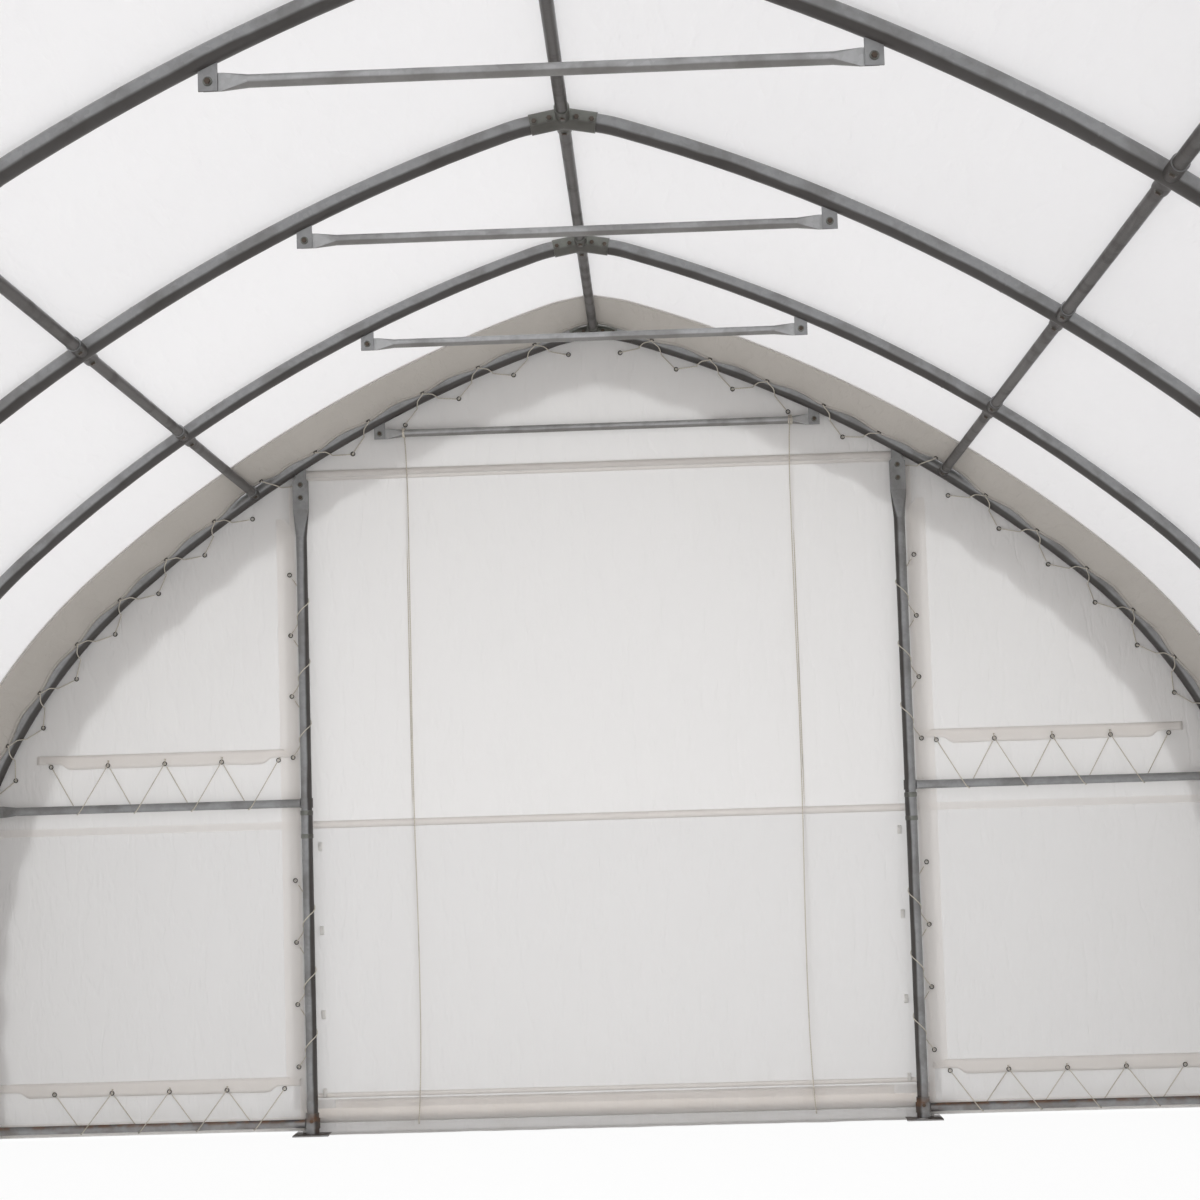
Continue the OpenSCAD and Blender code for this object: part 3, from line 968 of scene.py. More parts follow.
@dataclass
class Ropes:
    """The four door ropes, which hang from the end ties round the doors."""

    plan: Plan
    finishes: Finishes
    radius: float = 0.0025

    def closed_route(self) -> list[tuple[float, float, float]]:
        """Returns the route round a closed door: across, outwards from the arch, and up."""
        return [(.890, .026, 3.180), (.888, .026, 3.150), (.884, .025, 3.080),
                (.880, .025, 2.900), (.880, .025, 2.650), (.881, .025, 2.400),
                (.882, .025, 2.150), (.884, .025, 1.900), (.884, .025, 1.650),
                (.883, .025, 1.400), (.880, .025, 1.150), (.877, .025, .900),
                (.876, .025, .650), (.878, .024, .400), (.884, .021, .200),
                (.890, .019, .090), (.894, .022, .050), (.895, .031, .034),
                (.896, .042, .031), (.897, .056, .036), (.897, .069, .044),
                (.897, .077, .060), (.896, .075, .120), (.895, .060, .400),
                (.894, .050, .900), (.893, .045, 1.400), (.892, .043, 1.900),
                (.891, .043, 2.400), (.890, .043, 2.800), (.890, .043, 2.960)]

    def rolled_route(self) -> list[tuple[float, float, float]]:
        """Returns the route round a rolled door, in the same terms."""
        return [(.890, .026, 3.180), (.889, .026, 3.120), (.888, .026, 3.050),
                (.888, .027, 2.970), (.888, .032, 2.900), (.888, .050, 2.866),
                (.888, .075, 2.840), (.888, .098, 2.826), (.888, .122, 2.836),
                (.888, .142, 2.858), (.888, .152, 2.890), (.888, .151, 2.925),
                (.888, .138, 2.958), (.888, .114, 2.984), (.888, .084, 3.000),
                (.889, .058, 3.016), (.890, .052, 3.030)]

    def build(self) -> None:
        """Makes the ropes and the hitch of each on its tie."""
        wrap = turned(ring_section(0.0205, 0.0026, 6), 16, True)
        for end in End:
            given = self.closed_route() if end is End.FAR else self.rolled_route()
            hitch = Fittings(f"rope_hitches_{end.name.lower()}", wrap)
            tie_y = end.value * self.plan.end_y + 0.0058
            for side in Side:
                route = smooth_route([Vector((side.value * x, end.value * (self.plan.end_y + y), z))
                                      for x, y, z in given], 5)
                rope = line_curve(f"rope_{end.name.lower()}_{side.name.lower()}", [route],
                                  self.radius, 3)
                dress(rope, self.finishes.rope, Slot.ROPE, "door_ropes")
                round(route_length(route), 3)
                for k in (-1, 0, 1):
                    hitch.put(Vector((side.value * (self.plan.rope_x + 0.0052 * k), tie_y,
                                      route[0].z)), Vector((1, 0.12 * k, 0.05 * k)))
                LOG.info("%s: %.3f m", rope.name, route_length(route))
            dress(hitch.build(), self.finishes.rope, Slot.ROPE)


@dataclass
class Steelwork:
    """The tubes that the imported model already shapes, and the small hardware on them."""

    plan: Plan
    finishes: Finishes

    def dress_nodes(self) -> None:
        """Gives every CAD node that stays in view its finish."""
        for name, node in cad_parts.items():
            # Collar ties take the lighter copy of the tube finish, which paints their highlight.
            finish = self.finishes.tie if name.startswith("collar_tie") else self.finishes.tube
            if name == "ridge_connectors":
                finish = self.finishes.connector
            if not node.material_slots:
                node.data.materials.append(finish)
            for slot in node.material_slots:
                slot.material = finish

    def bolts(self) -> None:
        """Puts hexagon bolts on the ties, the connectors, the sleeves, the posts and the feet."""
        plan, p = self.plan, self.plan.profile
        head = turned([(0.0, 0.0078), (0.0072, 0.0078), (0.0088, 0.0062), (0.0088, 0.0018)], 6,
                      False)
        washer = turned([(0.0, 0.0020), (0.0120, 0.0020), (0.0128, 0.0012), (0.0128, -0.0004)],
                        14, False)
        heads, washers = Fittings("bolt_heads", head), Fittings("bolt_washers", washer)

        def fix(at: Vector, axis: Vector) -> None:
            """Adds a bolt head and its washer at a place along an axis."""
            heads.put(at, axis)
            washers.put(at, axis)

        for row, y in enumerate(plan.arch_rows()):
            is_end = row in (0, 6)
            tie = 1.000 if is_end else 0.850
            tie_z = plan.under_roof(tie + 0.025) - 0.026
            arm_r = 0.030 if is_end else 0.034
            for side in Side:
                x = side.value
                fix(Vector((x * tie, y - 0.003, tie_z)), Vector((0, -1, 0)))
                fix(Vector((x * tie, y + 0.0083, tie_z)), Vector((0, 1, 0)))
                for s in (0.045, 0.095):
                    for face in (-1, 1):
                        at = p.point(x * s, 0, y + face * (arm_r - 0.0008))
                        fix(at, Vector((0, face, 0)))
                for mark in plan.purlin_marks():
                    n = p.at(x * mark)[1]
                    inward = Vector((-n.x, 0, -n.y))
                    for step in (-0.078, 0.078):
                        if abs(y + step) < plan.end_y:
                            fix(p.point(x * mark, -0.0246, y + step), inward)
                for face in (-1, 1):
                    fix(Vector((x * p.half, y + face * 0.0296, 0.085)), Vector((0, face, 0)))
            for step in (-0.078, 0.078):
                if abs(y + step) < plan.end_y:
                    fix(Vector((0, y + step, p.crown - 0.0246)), Vector((0, 0, -1)))
        for end in End:
            for side in Side:
                x, post_y = side.value * plan.post_x, end.value * (plan.end_y + plan.post_y)
                inward = Vector((0, -end.value, 0))
                top = plan.under_roof(plan.post_x + 0.036) - 0.003
                for drop in (0.035, 0.095):
                    fix(Vector((x, post_y - end.value * 0.005, top - drop)), inward)
                fix(Vector((x, post_y - end.value * 0.0290, 0.062)), inward)
                for z in (plan.mid_rail, plan.base_rail):
                    reach = plan.eave_x(z) - plan.tube_r - 0.030
                    fix(Vector((side.value * reach, post_y - end.value * 0.0025, z)), inward)
        dress(heads.build(smooth=False), self.finishes.bolt, Slot.CONNECTOR)
        dress(washers.build(), self.finishes.connector, Slot.CONNECTOR)
        LOG.info("bolts: %d", len(heads.places))

    def collars(self) -> None:
        """Puts a thin swaged collar at each joint between two tubes."""
        plan, p = self.plan, self.plan.profile
        bead = turned([(0.0298, -0.006), (0.0307, -0.004), (0.0310, 0.0), (0.0307, 0.004),
                       (0.0298, 0.006)], 32, False)
        beads = Fittings("swaged_collars", bead)
        for y in plan.arch_rows():
            for side in Side:
                for s in (plan.purlin_marks()[0] - 0.21, p.length - p.eave_c.y - 0.02):
                    n = p.at(side.value * s)[1]
                    beads.put(p.point(side.value * s, 0, y), Vector((n.y, 0, -n.x)))
        post_bead = turned([(0.0250, -0.055), (0.0268, -0.050), (0.0268, 0.050),
                            (0.0250, 0.055)], 32, False)
        clamp = turned([(0.0266, -0.011), (0.0284, -0.009), (0.0288, 0.0), (0.0284, 0.009),
                        (0.0266, 0.011)], 32, False)
        splices, clamps = Fittings("post_splices", post_bead), Fittings("band_clamps", clamp)
        for end in End:
            for side in Side:
                at = Vector((side.value * plan.post_x, end.value * (plan.end_y + plan.post_y), 0))
                splices.put(at + Vector((0, 0, plan.mid_rail - 0.105)), Vector((0, 0, 1)))
                clamps.put(at + Vector((0, 0, plan.mid_rail - 0.045)), Vector((0, 0, 1)))
                clamps.put(at + Vector((0, 0, plan.mid_rail - 0.150)), Vector((0, 0, 1)), 0.985)
        dress(beads.build(), self.finishes.tube, Slot.TUBE)
        dress(splices.build(), self.finishes.tube, Slot.TUBE)
        dress(clamps.build(), self.finishes.connector, Slot.CONNECTOR)


@dataclass
class RoofCover:
    """The one-piece cover over all the arches, with its hems and its folded ends."""

    plan: Plan
    finishes: Finishes

    def build(self) -> None:
        """Makes the cover, its bottom hems and the folded ends over the end walls."""
        plan, p = self.plan, self.plan.profile
        reach, half_l = p.length - plan.hem, plan.end_y + plan.valance_y

        def place(u: float, v: float) -> Vector:
            """Returns the place of a point of the cover."""
            s, y = mix(-reach, reach, u), mix(-half_l, half_l, v)
            z_left = p.length - abs(s)
            out = plan.cover(y) + 0.0015 * drift(s * 1.7, y * 1.1, 3.0)
            out += 0.010 * ease(0.5, 0.0, z_left) * drift(s * 0.4, y * 1.9, 8.0)
            return p.point(s, out, y)

        size = (2 * reach, 2 * half_l)
        sheet = cloth("roof_cover", (264, 228), size, place, Vector((0, 0, 1)))
        dress(sheet, self.finishes.roof, Slot.ROOF, "roof_cover_left", "roof_cover_right")
        for side in Side:
            def hem_place(u: float, v: float, side: Side = side) -> Vector:
                """Returns the place of a point of the welded hem."""
                s = side.value * (reach - 0.075 * u)
                share = (s + reach) / (2 * reach)
                return place(share, v) + Vector((side.value * 0.0020, 0, 0))
            hem = cloth(f"cover_hem_{side.name.lower()}", (3, 200), (0.075, 2 * half_l),
                        hem_place, Vector((side.value, 0, 0)), 0.0012)
            dress(hem, self.finishes.seam, Slot.ROOF)
        for end in End:
            self.valance(end, reach)
        LOG.info("roof cover: %.2f by %.2f m", *size)

    def valance(self, end: End, reach: float) -> None:
        """Makes the part of the cover that folds down over an end wall.

        Args:
            end: The end wall.
            reach: Length of half the cover, from the ridge to its hem.
        """
        plan, p = self.plan, self.plan.profile

        def place(u: float, v: float) -> Vector:
            """Returns the place of a point of the folded end."""
            s = mix(-reach, reach, u)
            inner = -0.2417 + 0.010 * math.cos(math.tau * s / plan.lace_step)
            out = mix(0.0378, inner, v)
            lift = 0.0045 * v * v * swell(s, plan.lace_step)
            lift += 0.006 * v * drift(s * 2.0, v, 11.0 + end.value)
            return p.point(s, out, end.value * (plan.end_y + plan.valance_y + lift))

        flat = (2 * reach, 0.280)
        sheet = cloth(f"valance_{end.name.lower()}", (300, 8), flat, place,
                      Vector((0, end.value, 0)))
        dress(sheet, self.finishes.fold, Slot.ROOF, "valances")


@dataclass
class InnerSkirt:
    """The taupe skirt welded inside the cover beside an end arch and laced to the end wall."""

    plan: Plan
    finishes: Finishes
    end: End
    weld_y: float = -0.590
    edge_y: float = -0.054

    def keeps_out(self, s: float) -> float:
        """Returns how strongly the skirt is lifted over a purlin at a place on the arch."""
        marks = [0.0, *self.plan.purlin_marks()]
        return max(ease(0.17, 0.05, abs(abs(s) - m)) for m in marks)

    def spot(self, s: float, v: float) -> Vector:
        """Finds a point of the skirt.

        Args:
            s: Distance from the ridge, negative on the left.
            v: Share of its width, from the weld to the laced edge.

        Returns:
            The point.
        """
        plan = self.plan
        wave = swell(s, plan.lace_step)
        lifted = self.keeps_out(s)
        y = mix(self.weld_y, mix(self.edge_y - 0.010 * wave, -0.022, lifted), v)
        weld = plan.cover(self.end.value * (plan.end_y + y)) - 0.0022
        free = mix(-0.004 + 0.012 * wave, 0.0285, lifted)
        out = mix(weld, free, ease(0.0, 1.0, v) ** 1.25)
        out -= 0.004 * math.sin(math.pi * v) * drift(s * 3.1, v * 2, 5.0) * (1 - lifted)
        return plan.profile.point(s, out, self.end.value * (plan.end_y + y))

    def build(self) -> None:
        """Makes the skirt, its weld strip and its edge strip."""
        plan = self.plan
        reach = plan.profile.length - plan.hem
        flat = (2 * reach, self.edge_y - self.weld_y)
        name = self.end.name.lower()
        sheet = cloth(f"inner_skirt_{name}", (370, 18), flat,
                      lambda u, v: self.spot(mix(-reach, reach, u), v), Vector((0, 0, 1)))
        dress(sheet, self.finishes.skirt, Slot.SKIRT, "inner_skirts")

        def strip(low: float, high: float, sink: float) -> Callable[[float, float], Vector]:
            """Returns the place function of a strip between two shares of the skirt's width."""
            return lambda u, v: (self.spot(mix(-reach, reach, u), mix(low, high, v))
                                 - sink * self.up(mix(-reach, reach, u)))

        edge = cloth(f"skirt_edge_{name}", (370, 2), (2 * reach, 0.045),
                     strip(0.915, 1.0, 0.0012), Vector((0, 0, 1)), 0.0012)
        dress(edge, self.finishes.skirt, Slot.SKIRT)
        weld = cloth(f"skirt_weld_{name}", (370, 1), (2 * reach, 0.030),
                     strip(0.0, 0.055, 0.0010), Vector((0, 0, 1)), 0.0008)
        dress(weld, self.finishes.seam, Slot.SKIRT)

    def up(self, s: float) -> Vector:
        """Returns the outward direction at a place on the arch."""
        n = self.plan.profile.at(s)[1]
        return Vector((n.x, 0, n.y)).normalized()


@dataclass
class EndWall:
    """One end wall: its side panels, gable, flaps, seams, eyelets and lacing."""

    plan: Plan
    finishes: Finishes
    end: End
    skirt: InnerSkirt
    wall_out: float = 0.034
    eye_out: float = -0.078
    mid_lift: float = 0.200
    base_lift: float = 0.155
    flap_step: float = 0.262
    first_eye: float = 1.500
    post_eye: float = 0.300
    upper_eye: float = 1.700
    post_step: float = 0.280

    def at(self, x: float, y: float, z: float) -> Vector:
        """Returns a place given across, outwards from the end arch, and up."""
        return Vector((x, self.end.value * (self.plan.end_y + y), z))

    @property
    def name(self) -> str:
        """The end's name in piece names."""
        return self.end.name.lower()

    @property
    def facing(self) -> Vector:
        """The direction of the wall's outer face."""
        return Vector((0, self.end.value, 0))

    def slack(self, x: float, z: float, s: float, inside: float) -> float:
        """Finds how far the wall sheet stands out from its plane.

        Args:
            x: Distance from the middle.
            z: Height.
            s: Place of the nearest eyelet row along the arch.
            inside: Distance in from the arch.

        Returns:
            The distance outwards.
        """
        ray = 0.0050 * swell(s, self.plan.lace_step)
        out = ray * ease(0.42, 0.06, inside)
        body = ease(0.28, 0.75, inside) * ease(1.47, 1.75, abs(x))
        out += 0.016 * body * drift(x * 1.3, z * 0.9, 2.0 + self.end.value)
        for row in (self.plan.mid_rail + self.mid_lift, self.plan.base_rail + self.base_lift):
            pull = 0.5 + 0.5 * math.cos(math.tau * (abs(x) - self.first_eye) / self.flap_step)
            out -= 0.0035 * body * pull * ease(0.22, 0.0, abs(z - row))
        return max(0.0, out)

    def panel_point(self, side: Side, u: float, v: float) -> Vector:
        """Returns the place of a point of a side panel from its two shares."""
        plan, p = self.plan, self.plan.profile
        top = p.s_at_x(plan.panel_x + 0.004, self.wall_out)
        s = mix(p.length - plan.hem, top, v)
        edge = p.point(s, self.wall_out, 0)
        x = mix(plan.panel_x, edge.x, u)
        out = self.slack(x, edge.z, s, edge.x - x)
        return self.at(side.value * x, plan.wall_y + out, edge.z)

    def panels(self) -> None:
        """Makes the two side panels with their lower seams."""
        plan, p = self.plan, self.plan.profile
        top = p.s_at_x(plan.panel_x + 0.004, self.wall_out)
        tall = p.point(top, self.wall_out, 0).z - plan.hem
        wide = p.half + self.wall_out - plan.panel_x
        rows = [p.point(mix(p.length - plan.hem, top, k / 400), self.wall_out, 0)
                for k in range(401)]
        for side in Side:
            label = f"{self.name}_panel_{side.name.lower()}"
            sheet = cloth(f"{label}_sheet", (64, 190), (wide, tall * 1.35),
                          lambda u, v, side=side: self.panel_point(side, u, v), self.facing,
                          upright=True)
            dress(sheet, self.finishes.wall, Slot.WALL, label)
            seam = self.strip(f"{label}_seam", side, plan.panel_x + 0.01,
                              plan.eave_x(SEAM_Z) - 0.02, SEAM_Z, 0.034, 0.0302, 0.0302)
            foot = self.strip(f"{label}_hem", side, plan.panel_x + 0.01, p.half - 0.01, 0.046,
                              0.060, 0.0303, 0.0303)
            bind = cloth(f"{label}_binding", (2, 120), (0.03, 2.9),
                         lambda u, v, side=side: self.at(side.value * mix(1.405, 1.432, u),
                                                         0.0306, mix(0.02, 2.96, v)),
                         -self.facing)
            dress(bind, self.finishes.seam, Slot.WALL)

    def strip(self, name: str, side: Side, x_from: float, x_to: float, z: float, tall: float,
              y_top: float, y_foot: float, notch: float = 0.0, thick: float = 0.0,
              wave: float = 0.0) -> bpy.types.Object:
        """Makes a strip of sheet along the wall.

        Args:
            name: The piece's name.
            side: The side it is on.
            x_from: Where it starts.
            x_to: Where it ends.
            z: Height of its middle.
            tall: Its height.
            y_top: Place of its upper edge, outwards from the arch.
            y_foot: Place of its lower edge.
            notch: How much lower edge is cut away near its two ends.
            thick: Its thickness.
            wave: How far its lower edge swings between two eyelets.

        Returns:
            The strip, dressed.
        """
        def place(u: float, v: float) -> Vector:
            """Returns the place of a point of the strip."""
            x = mix(x_from, x_to, u)
            cut = notch * ease(0.150, 0.105, min(x - x_from, x_to - x))
            swing = swell(x - self.first_eye, self.flap_step)
            y = mix(y_foot + wave * swing, y_top, ease(0.0, 1.0, v))
            drop = -0.5 * wave * swing * (1 - v)
            return self.at(side.value * x, y, z + tall * (v - 0.5) + drop + cut * (1 - v))
        cells = max(8, int(abs(x_to - x_from) / 0.015))
        made = cloth(name, (cells, 4), (abs(x_to - x_from), tall), place, -self.facing, thick)
        return dress(made, self.finishes.seam, Slot.WALL)

    def gable(self) -> None:
        """Makes the sheet above the doorway."""
        plan, p = self.plan, self.plan.profile
        half_s = p.s_at_x(plan.panel_x - 0.001, self.wall_out)

        def place(u: float, v: float) -> Vector:
            """Returns the place of a point of the gable."""
            s = mix(-half_s, half_s, u)
            top = p.point(s, self.wall_out, 0)
            z = mix(plan.door_h, top.z, v)
            ray = 0.0040 * swell(s, plan.lace_step)
            return self.at(top.x, plan.wall_y + ray * ease(0.35, 0.05, top.z - z), z)

        wide = 2 * (plan.panel_x - 0.001)
        tall = p.crown + 0.035 - plan.door_h
        area = sum((p.point(mix(0, half_s, (k + 0.5) / 300), self.wall_out, 0).z - plan.door_h)
                   * (p.point(mix(0, half_s, (k + 1) / 300), self.wall_out, 0).x
                      - p.point(mix(0, half_s, k / 300), self.wall_out, 0).x)
                   for k in range(300)) * 2
        sheet = cloth(f"{self.name}_gable_sheet", (140, 26), (wide, tall), place, self.facing,
                      upright=True)
        dress(sheet, self.finishes.wall, Slot.WALL, f"{self.name}_gable")
        seam = cloth(f"{self.name}_gable_seam", (80, 2), (wide, 0.03),
                     lambda u, v: self.at(mix(-1.395, 1.395, u), 0.0304, mix(2.992, 3.022, v)),
                     -self.facing, 0.0010)
        dress(seam, self.finishes.seam, Slot.WALL)

    def flaps_and_lacing(self) -> None:
        """Makes the laced flaps above the rails and beside the posts, and all the lacing."""
        plan = self.plan
        eyes = Fittings(f"{self.name}_grommets", turned(ring_section(0.0088, 0.0024), 12, True))
        routes: list[Route] = []
        for side in Side:
            label = f"{self.name}_{side.name.lower()}"
            for kind, rail, lift in (("mid", plan.mid_rail, self.mid_lift),
                                     ("base", plan.base_rail, self.base_lift)):
                x_to = plan.eave_x(rail + lift) - (0.16 if kind == "mid" else 0.20)
                self.strip(f"{label}_{kind}_flap", side, 1.425, x_to, rail + lift + 0.018, 0.064,
                           0.0300, 0.0235, 0.026, 0.0010, 0.004)
                routes += self.rail_lacing(side, rail, rail + lift, x_to, eyes)
            self.post_flap(side, label)
            routes += self.post_lacing(side, eyes)
        routes += self.arch_lacing(eyes)
        lace = as_mesh(line_curve(f"{self.name}_lacing", routes, 0.0024, 1))
        dress(lace, self.finishes.lace, Slot.ROPE)
        dress(eyes.build(), self.finishes.grommet, Slot.CONNECTOR)
        LOG.info("%s wall: %d eyelets, %d runs of lacing", self.name, len(eyes.places),
                 len(routes))

    def rail_lacing(self, side: Side, rail: float, row: float, x_to: float,
                    eyes: Fittings) -> list[Route]:
        """Laces a flap down to its rail.

        Args:
            side: The side of the wall.
            rail: Height of the rail's axis.
            row: Height of the eyelets.
            x_to: Where the flap ends.
            eyes: Takes the eyelets.

        Returns:
            The lacing's route.
        """
        plan, x, points = self.plan, self.first_eye, []
        round_rail = plan.rail_r + 0.0032
        while x < x_to - 0.05:
            eye = self.at(side.value * x, 0.0222, row)
            eyes.put(eye, -self.facing)
            points += [eye + self.facing * 0.006, eye - self.facing * 0.0045]
            turn = x + self.flap_step / 2
            if turn < x_to - 0.02 and x + self.flap_step < x_to - 0.05:
                ahead = [(-0.022, -round_rail, 0.004),
                         (-0.004, -0.7 * round_rail, -0.7 * round_rail),
                         (0.006, 0.2 * round_rail, -round_rail), (0.016, round_rail, -0.002),
                         (0.024, 0.7 * round_rail, 0.7 * round_rail)]
                points += [self.at(side.value * (turn + dx), plan.post_y + dy, rail + dz)
                           for dx, dy, dz in ahead]
            x += self.flap_step
        return [smooth_route(points, 3)]

    def post_flap(self, side: Side, label: str) -> None:
        """Makes the upright flap beside a post.

        Args:
            side: The side of the wall.
            label: Start of the piece's name.
        """
        def place(u: float, v: float) -> Vector:
            """Returns the place of a point of the flap."""
            z = mix(0.215, 2.800, v)
            swing = swell(z - self.post_eye, self.post_step)
            cut = 0.040 * (ease(0.05, 0.0, z - 0.215) + ease(0.05, 0.0, 2.800 - z))
            x = mix(1.412 + 0.006 * swing + cut, 1.492, u)
            return self.at(side.value * x, mix(0.0215 + 0.004 * swing, 0.0300, ease(0, 1, u)), z)
        made = cloth(f"{label}_post_flap", (5, 130), (0.08, 2.585), place, -self.facing)
        dress(made, self.finishes.seam, Slot.WALL)

    def post_lacing(self, side: Side, eyes: Fittings) -> list[Route]:
        """Laces the upright flap round its post.

        Args:
            side: The side of the wall.
            eyes: Takes the eyelets.

        Returns:
            The lacing's routes, one below and one above the mid rail.
        """
        plan, routes, reach, count = self.plan, [], self.plan.post_r + 0.0034, 4
        for first in (self.post_eye, self.upper_eye):
            points = []
            for k in range(count):
                z = first + self.post_step * k
                eye = self.at(side.value * 1.433, 0.0212, z)
                eyes.put(eye, -self.facing)
                points += [eye + self.facing * 0.006, eye - self.facing * 0.0045]
                if k + 1 < count:
                    for turn, rise in ((20, 0.05), (-30, 0.085), (-90, 0.115), (-150, 0.14),
                                       (-200, 0.16), (-255, 0.185), (-305, 0.21)):
                        a = math.radians(turn)
                        points.append(self.at(side.value * (plan.post_x + reach * math.cos(a)),
                                              plan.post_y + reach * math.sin(a), z + rise))
            routes.append(smooth_route(points, 3))
        return routes

    def arch_lacing(self, eyes: Fittings) -> list[Route]:
        """Laces the skirt's edge over the end arch to the end wall.

        Args:
            eyes: Takes the eyelets.

        Returns:
            The lacing's routes, one between each two places that it skips.
        """
        plan, p = self.plan, self.plan.profile
        reach = int((p.length - 0.16) / plan.lace_step)
        shut = [(0.0, 0.16), *((m, 0.10) for m in plan.purlin_marks())]
        shut += [(p.s_at_x(x), 0.06) for x in (1.0, plan.post_x)]
        shut += [(p.length - z, 0.06) for z in (plan.mid_rail, plan.base_rail)]
        routes, points = [], []

        def free(s: float) -> bool:
            """Returns whether a cord can pass under the tube at a place."""
            return all(abs(abs(s) - m) > gap for m, gap in shut)

        for k in range(-2 * reach, 2 * reach + 1):
            s = k * plan.lace_step / 2
            on_skirt = k % 2 == 0  # every other eyelet is in the skirt, the rest in the wall
            if not on_skirt:
                eye = p.point(s, self.eye_out, self.end.value * (plan.end_y + 0.0285))
                eyes.put(eye, -self.facing)
                stop = [eye + self.facing * 0.008, eye - self.facing * 0.0045]
            else:
                eye = self.skirt.spot(s, 0.925)
                up = self.skirt.up(s)
                eyes.put(eye - 0.0030 * up, -up)
                stop = [eye - 0.0085 * up, eye + 0.0040 * up, eye - 0.0085 * up]
            points += stop
            mid = s + plan.lace_step / 4
            if k < 2 * reach and free(mid):
                dips = [(-0.036, -0.018), (-0.020, -0.0325), (0.004, -0.0355), (0.020, -0.040)]
                shares = (0.15, 0.28, 0.34, 0.40) if on_skirt else (0.60, 0.66, 0.72, 0.85)
                for share, (y, out) in zip(shares, dips if on_skirt else dips[::-1]):
                    spot = mix(s + 0.02, s + plan.lace_step / 2 - 0.02, share)
                    points.append(p.point(spot, out, self.end.value * (plan.end_y + y)))
            else:
                if len(points) > 3:
                    routes.append(smooth_route(points, 3))
                points = []
        return routes

    def build(self) -> None:
        """Makes the whole end wall but its door."""
        self.panels()
        self.gable()
        self.flaps_and_lacing()


@dataclass
class ClosedDoor:
    """The far door: a hanging sheet with welded seams, a hem pocket and a ground flap."""

    plan: Plan
    finishes: Finishes
    wall: EndWall

    def sheet_y(self, x: float, z: float) -> float:
        """Finds how far out the door hangs.

        Args:
            x: Distance across from the middle.
            z: Height.

        Returns:
            Its place outwards from the end arch.
        """
        free = ease(1.36, 1.10, abs(x))
        belly = 0.012 * free * math.sin(math.pi * min(1.0, z / 3.0)) * drift(x, z * 0.5, 1.0)
        folds = 0.005 * free * drift(x * 2.2, z * 0.35, 4.0) * ease(2.95, 2.2, z)
        return self.plan.door_y + belly + folds

    def seam(self, name: str, z: float, tall: float) -> bpy.types.Object:
        """Makes a welded seam across the door.

        Args:
            name: The piece's name.
            z: Height of its middle.
            tall: Its height.

        Returns:
            The seam, dressed.
        """
        made = cloth(name, (120, 2), (2.9, tall),
                     lambda u, v: self.wall.at(
                         mix(-1.45, 1.45, u),
                         self.sheet_y(mix(-1.45, 1.45, u), z + tall * (v - 0.5)) - 0.0011,
                         z + tall * (v - 0.5)), -self.wall.facing, 0.0008)
        return dress(made, self.finishes.seam, Slot.WALL)

    def pocket_path(self) -> list[tuple[float, float]]:
        """Returns the section of the hem pocket round the pipe, as outwards and up."""
        plan, r = self.plan, self.plan.pipe_r + 0.0016
        path = [(plan.pipe_y - r, 0.150), (plan.pipe_y - r, 0.105)]
        path += [(plan.pipe_y + r * math.cos(math.radians(a)),
                  plan.pipe_z + r * math.sin(math.radians(a))) for a in range(180, 421, 15)]
        return path + [(plan.pipe_y - 0.004, 0.098), (plan.door_y + 0.003, 0.125),
                       (plan.door_y + 0.002, 0.150)]

    def build(self) -> None:
        """Makes the door and the pieces on it."""
        plan, wall = self.plan, self.wall
        low, high = 0.110, 3.028

        def place(u: float, v: float) -> Vector:
            """Returns the place of a point of the door."""
            x, z = mix(-plan.door_half, plan.door_half, u), mix(low, high, v)
            return wall.at(x, self.sheet_y(x, z), z)

        flat = (2 * plan.door_half, high - low)
        sheet = cloth("far_door_sheet", (130, 130), flat, place, wall.facing)
        dress(sheet, self.finishes.door, Slot.WALL, "far_door")
        path = self.pocket_path()

        def pocket_place(u: float, v: float) -> Vector:
            """Returns the place of a point of the hem pocket."""
            x = mix(-1.425, 1.425, u)
            y, z = on_line(path, v)
            pucker = 0.0012 * drift(x * 9.0, v * 6, 2.0)
            return wall.at(x, y + pucker, z - pucker)

        pocket = cloth("far_door_pocket", (150, 44), (2.85, 0.30), pocket_place, -wall.facing,
                       0.0008)
        dress(pocket, self.finishes.seam, Slot.WALL)
        seams = [self.seam("far_door_seam_low", SEAM_Z, 0.034),
                 self.seam("far_door_seam_top", 2.990, 0.030),
                 self.seam("far_door_seam_hem", 0.168, 0.022), pocket]
        flap_line = [(0.0375, 0.046), (0.036, 0.022), (0.026, 0.0045), (-0.014, 0.0030),
                     (-0.060, 0.0028)]

        def flap_place(u: float, v: float) -> Vector:
            """Returns the place of a point of the ground flap."""
            x = mix(-1.42, 1.42, u)
            y, z = on_line(flap_line, v)
            return wall.at(x, y - 0.012 * v * drift(x * 3, 0.0, 6.0), z + 0.003 * v * drift(
                x * 7, 1.0, 7.0))

        flap = cloth("far_ground_flap", (150, 12), (2.84, 0.14), flap_place, Vector((0, 0, 1)),
                     0.0008)
        dress(flap, self.finishes.wall, Slot.WALL)
        LOG.info("far door built")


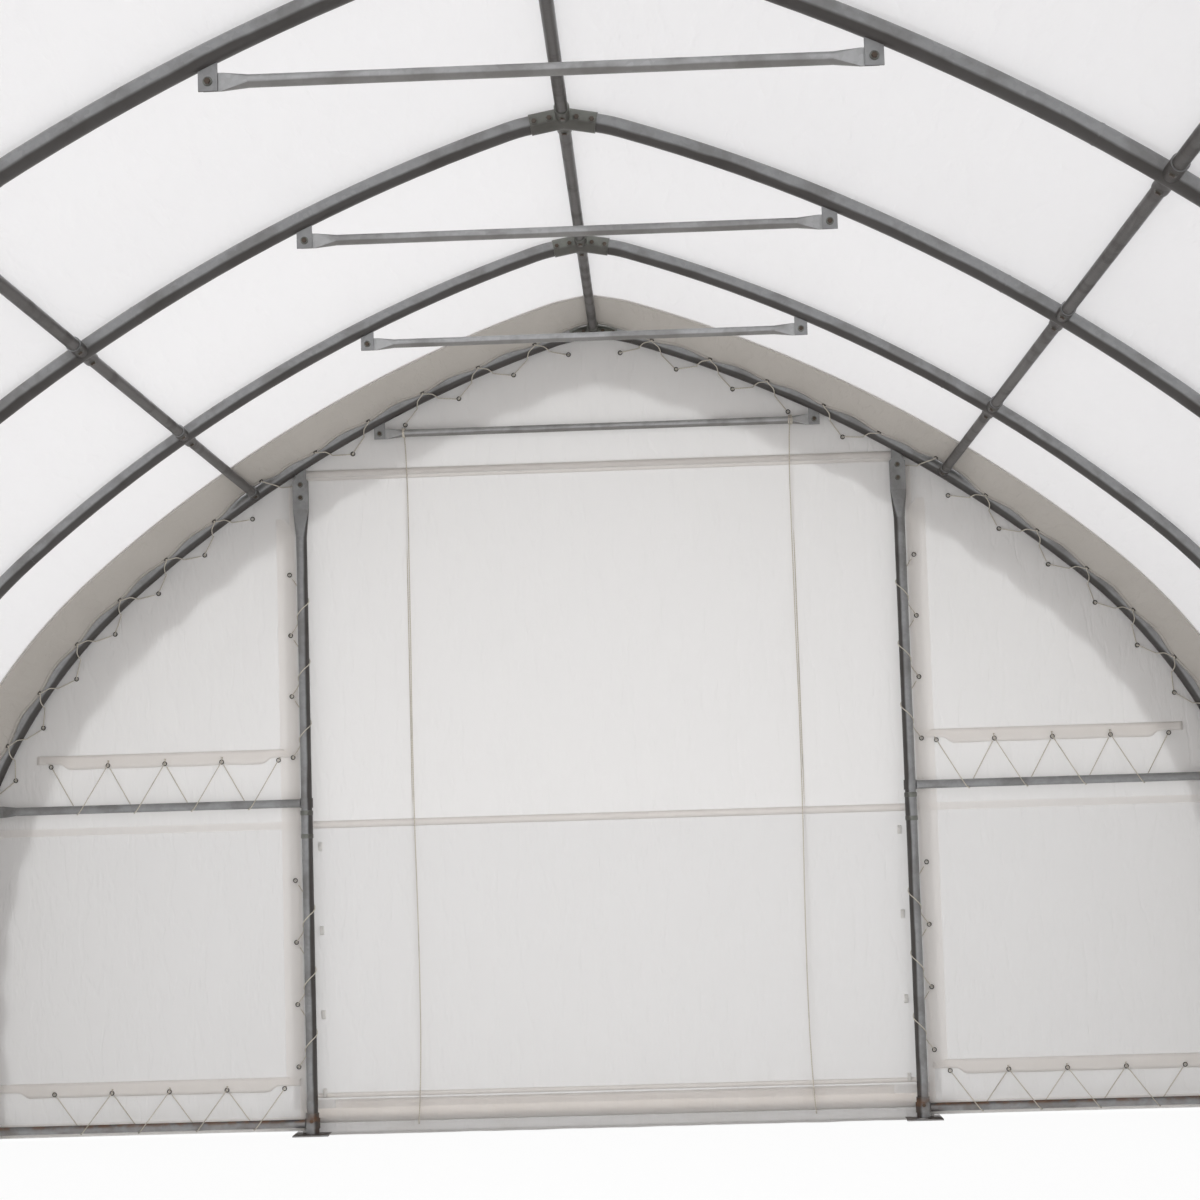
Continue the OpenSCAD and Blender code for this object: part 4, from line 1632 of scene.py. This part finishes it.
@dataclass
class RolledDoor:
    """The near door, rolled up round its pipe under the gable."""

    plan: Plan
    finishes: Finishes
    wall: EndWall

    def build(self) -> None:
        """Makes the roll as one sheet that winds from the pipe out to the gable."""
        plan = self.plan
        inner, outer, turns = plan.pipe_r + 0.0015, 0.0495, 13.25
        tail = [Vector((plan.roll_y - outer, plan.roll_z + 0.01)),
                Vector((plan.door_y + 0.008, plan.roll_z + 0.045)),
                Vector((plan.door_y + 0.003, plan.roll_z + 0.080)), Vector((plan.door_y, 3.028))]
        line = []
        steps = int(turns * 22)
        for k in range(steps + 1):
            a = math.tau * turns * k / steps
            r = mix(inner, outer, k / steps)
            start = math.pi - math.tau * turns
            line.append(Vector((plan.roll_y + r * math.cos(start + a),
                                plan.roll_z + r * math.sin(-(start + a)))))
        line += tail
        length = sum((b - a).length for a, b in zip(line, line[1:]))

        def place(u: float, v: float) -> Vector:
            """Returns the place of a point of the rolled sheet."""
            x, step = mix(-plan.door_half, plan.door_half, u), v * (len(line) - 1)
            k = min(int(step), len(line) - 2)
            at = line[k].lerp(line[k + 1], step - k)
            centre = Vector((plan.roll_y, plan.roll_z))
            if k < steps:
                squeeze = 1 - 0.10 * ease(0.16, 0.0, abs(abs(x) - plan.rope_x)) * (k / steps)
                squeeze += 0.02 * (drift(x * 2.3, k * 0.04, 9.0) - 0.5)
                at = centre + (at - centre) * min(1.0, squeeze)
            return self.wall.at(x, at.x, at.y)

        flat = (2 * plan.door_half, length)
        sheet = cloth("near_door_roll", (44, len(line) - 1), flat, place, self.wall.facing)
        dress(sheet, self.finishes.door, Slot.WALL, "near_door")
        LOG.info("near door rolled up: %.2f m of sheet", length)


@dataclass
class Tabs:
    """The small webbing tabs beside the posts of one end wall."""

    plan: Plan
    finishes: Finishes
    wall: EndWall
    heights: tuple[float, ...] = (0.18, 0.53, 0.91, 1.29)

    def build(self) -> None:
        """Makes the tabs, each a short folded strap with a stitched end."""
        for side in Side:
            for z in self.heights:
                def place(u: float, v: float, side: Side = side, z: float = z) -> Vector:
                    """Returns the place of a point of a tab."""
                    loop = 0.006 * math.sin(math.pi * v)
                    return self.wall.at(side.value * (1.326 - 0.018 * u), 0.0320 - loop,
                                        z + 0.038 * (v - 0.5))
                name = f"{self.wall.name}_tab_{side.name.lower()}_{int(z * 100):03d}"
                made = cloth(name, (4, 10), (0.018, 0.04), place, -self.wall.facing, 0.0016)
                dress(made, self.finishes.webbing, Slot.WALL)


def main() -> None:
    """Builds the camera, the ropes, the steelwork and the sheets in order."""
    logging.basicConfig(level=logging.INFO, format="%(message)s")
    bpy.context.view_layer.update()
    plan = Plan()
    studio = Studio()
    studio.place_camera()
    finishes = Finishes()
    Ropes(plan, finishes).build()
    studio.light()
    studio.floor()
    steel = Steelwork(plan, finishes)
    steel.dress_nodes()
    steel.bolts()
    steel.collars()
    RoofCover(plan, finishes).build()
    for end in End:
        skirt = InnerSkirt(plan, finishes, end)
        skirt.build()
        wall = EndWall(plan, finishes, end, skirt)
        wall.build()
        if end is End.FAR:
            ClosedDoor(plan, finishes, wall).build()
            Tabs(plan, finishes, wall).build()
        else:
            RolledDoor(plan, finishes, wall).build()
    bpy.context.view_layer.update()
    LOG.info("size written")


if __name__ == "__main__":
    main()
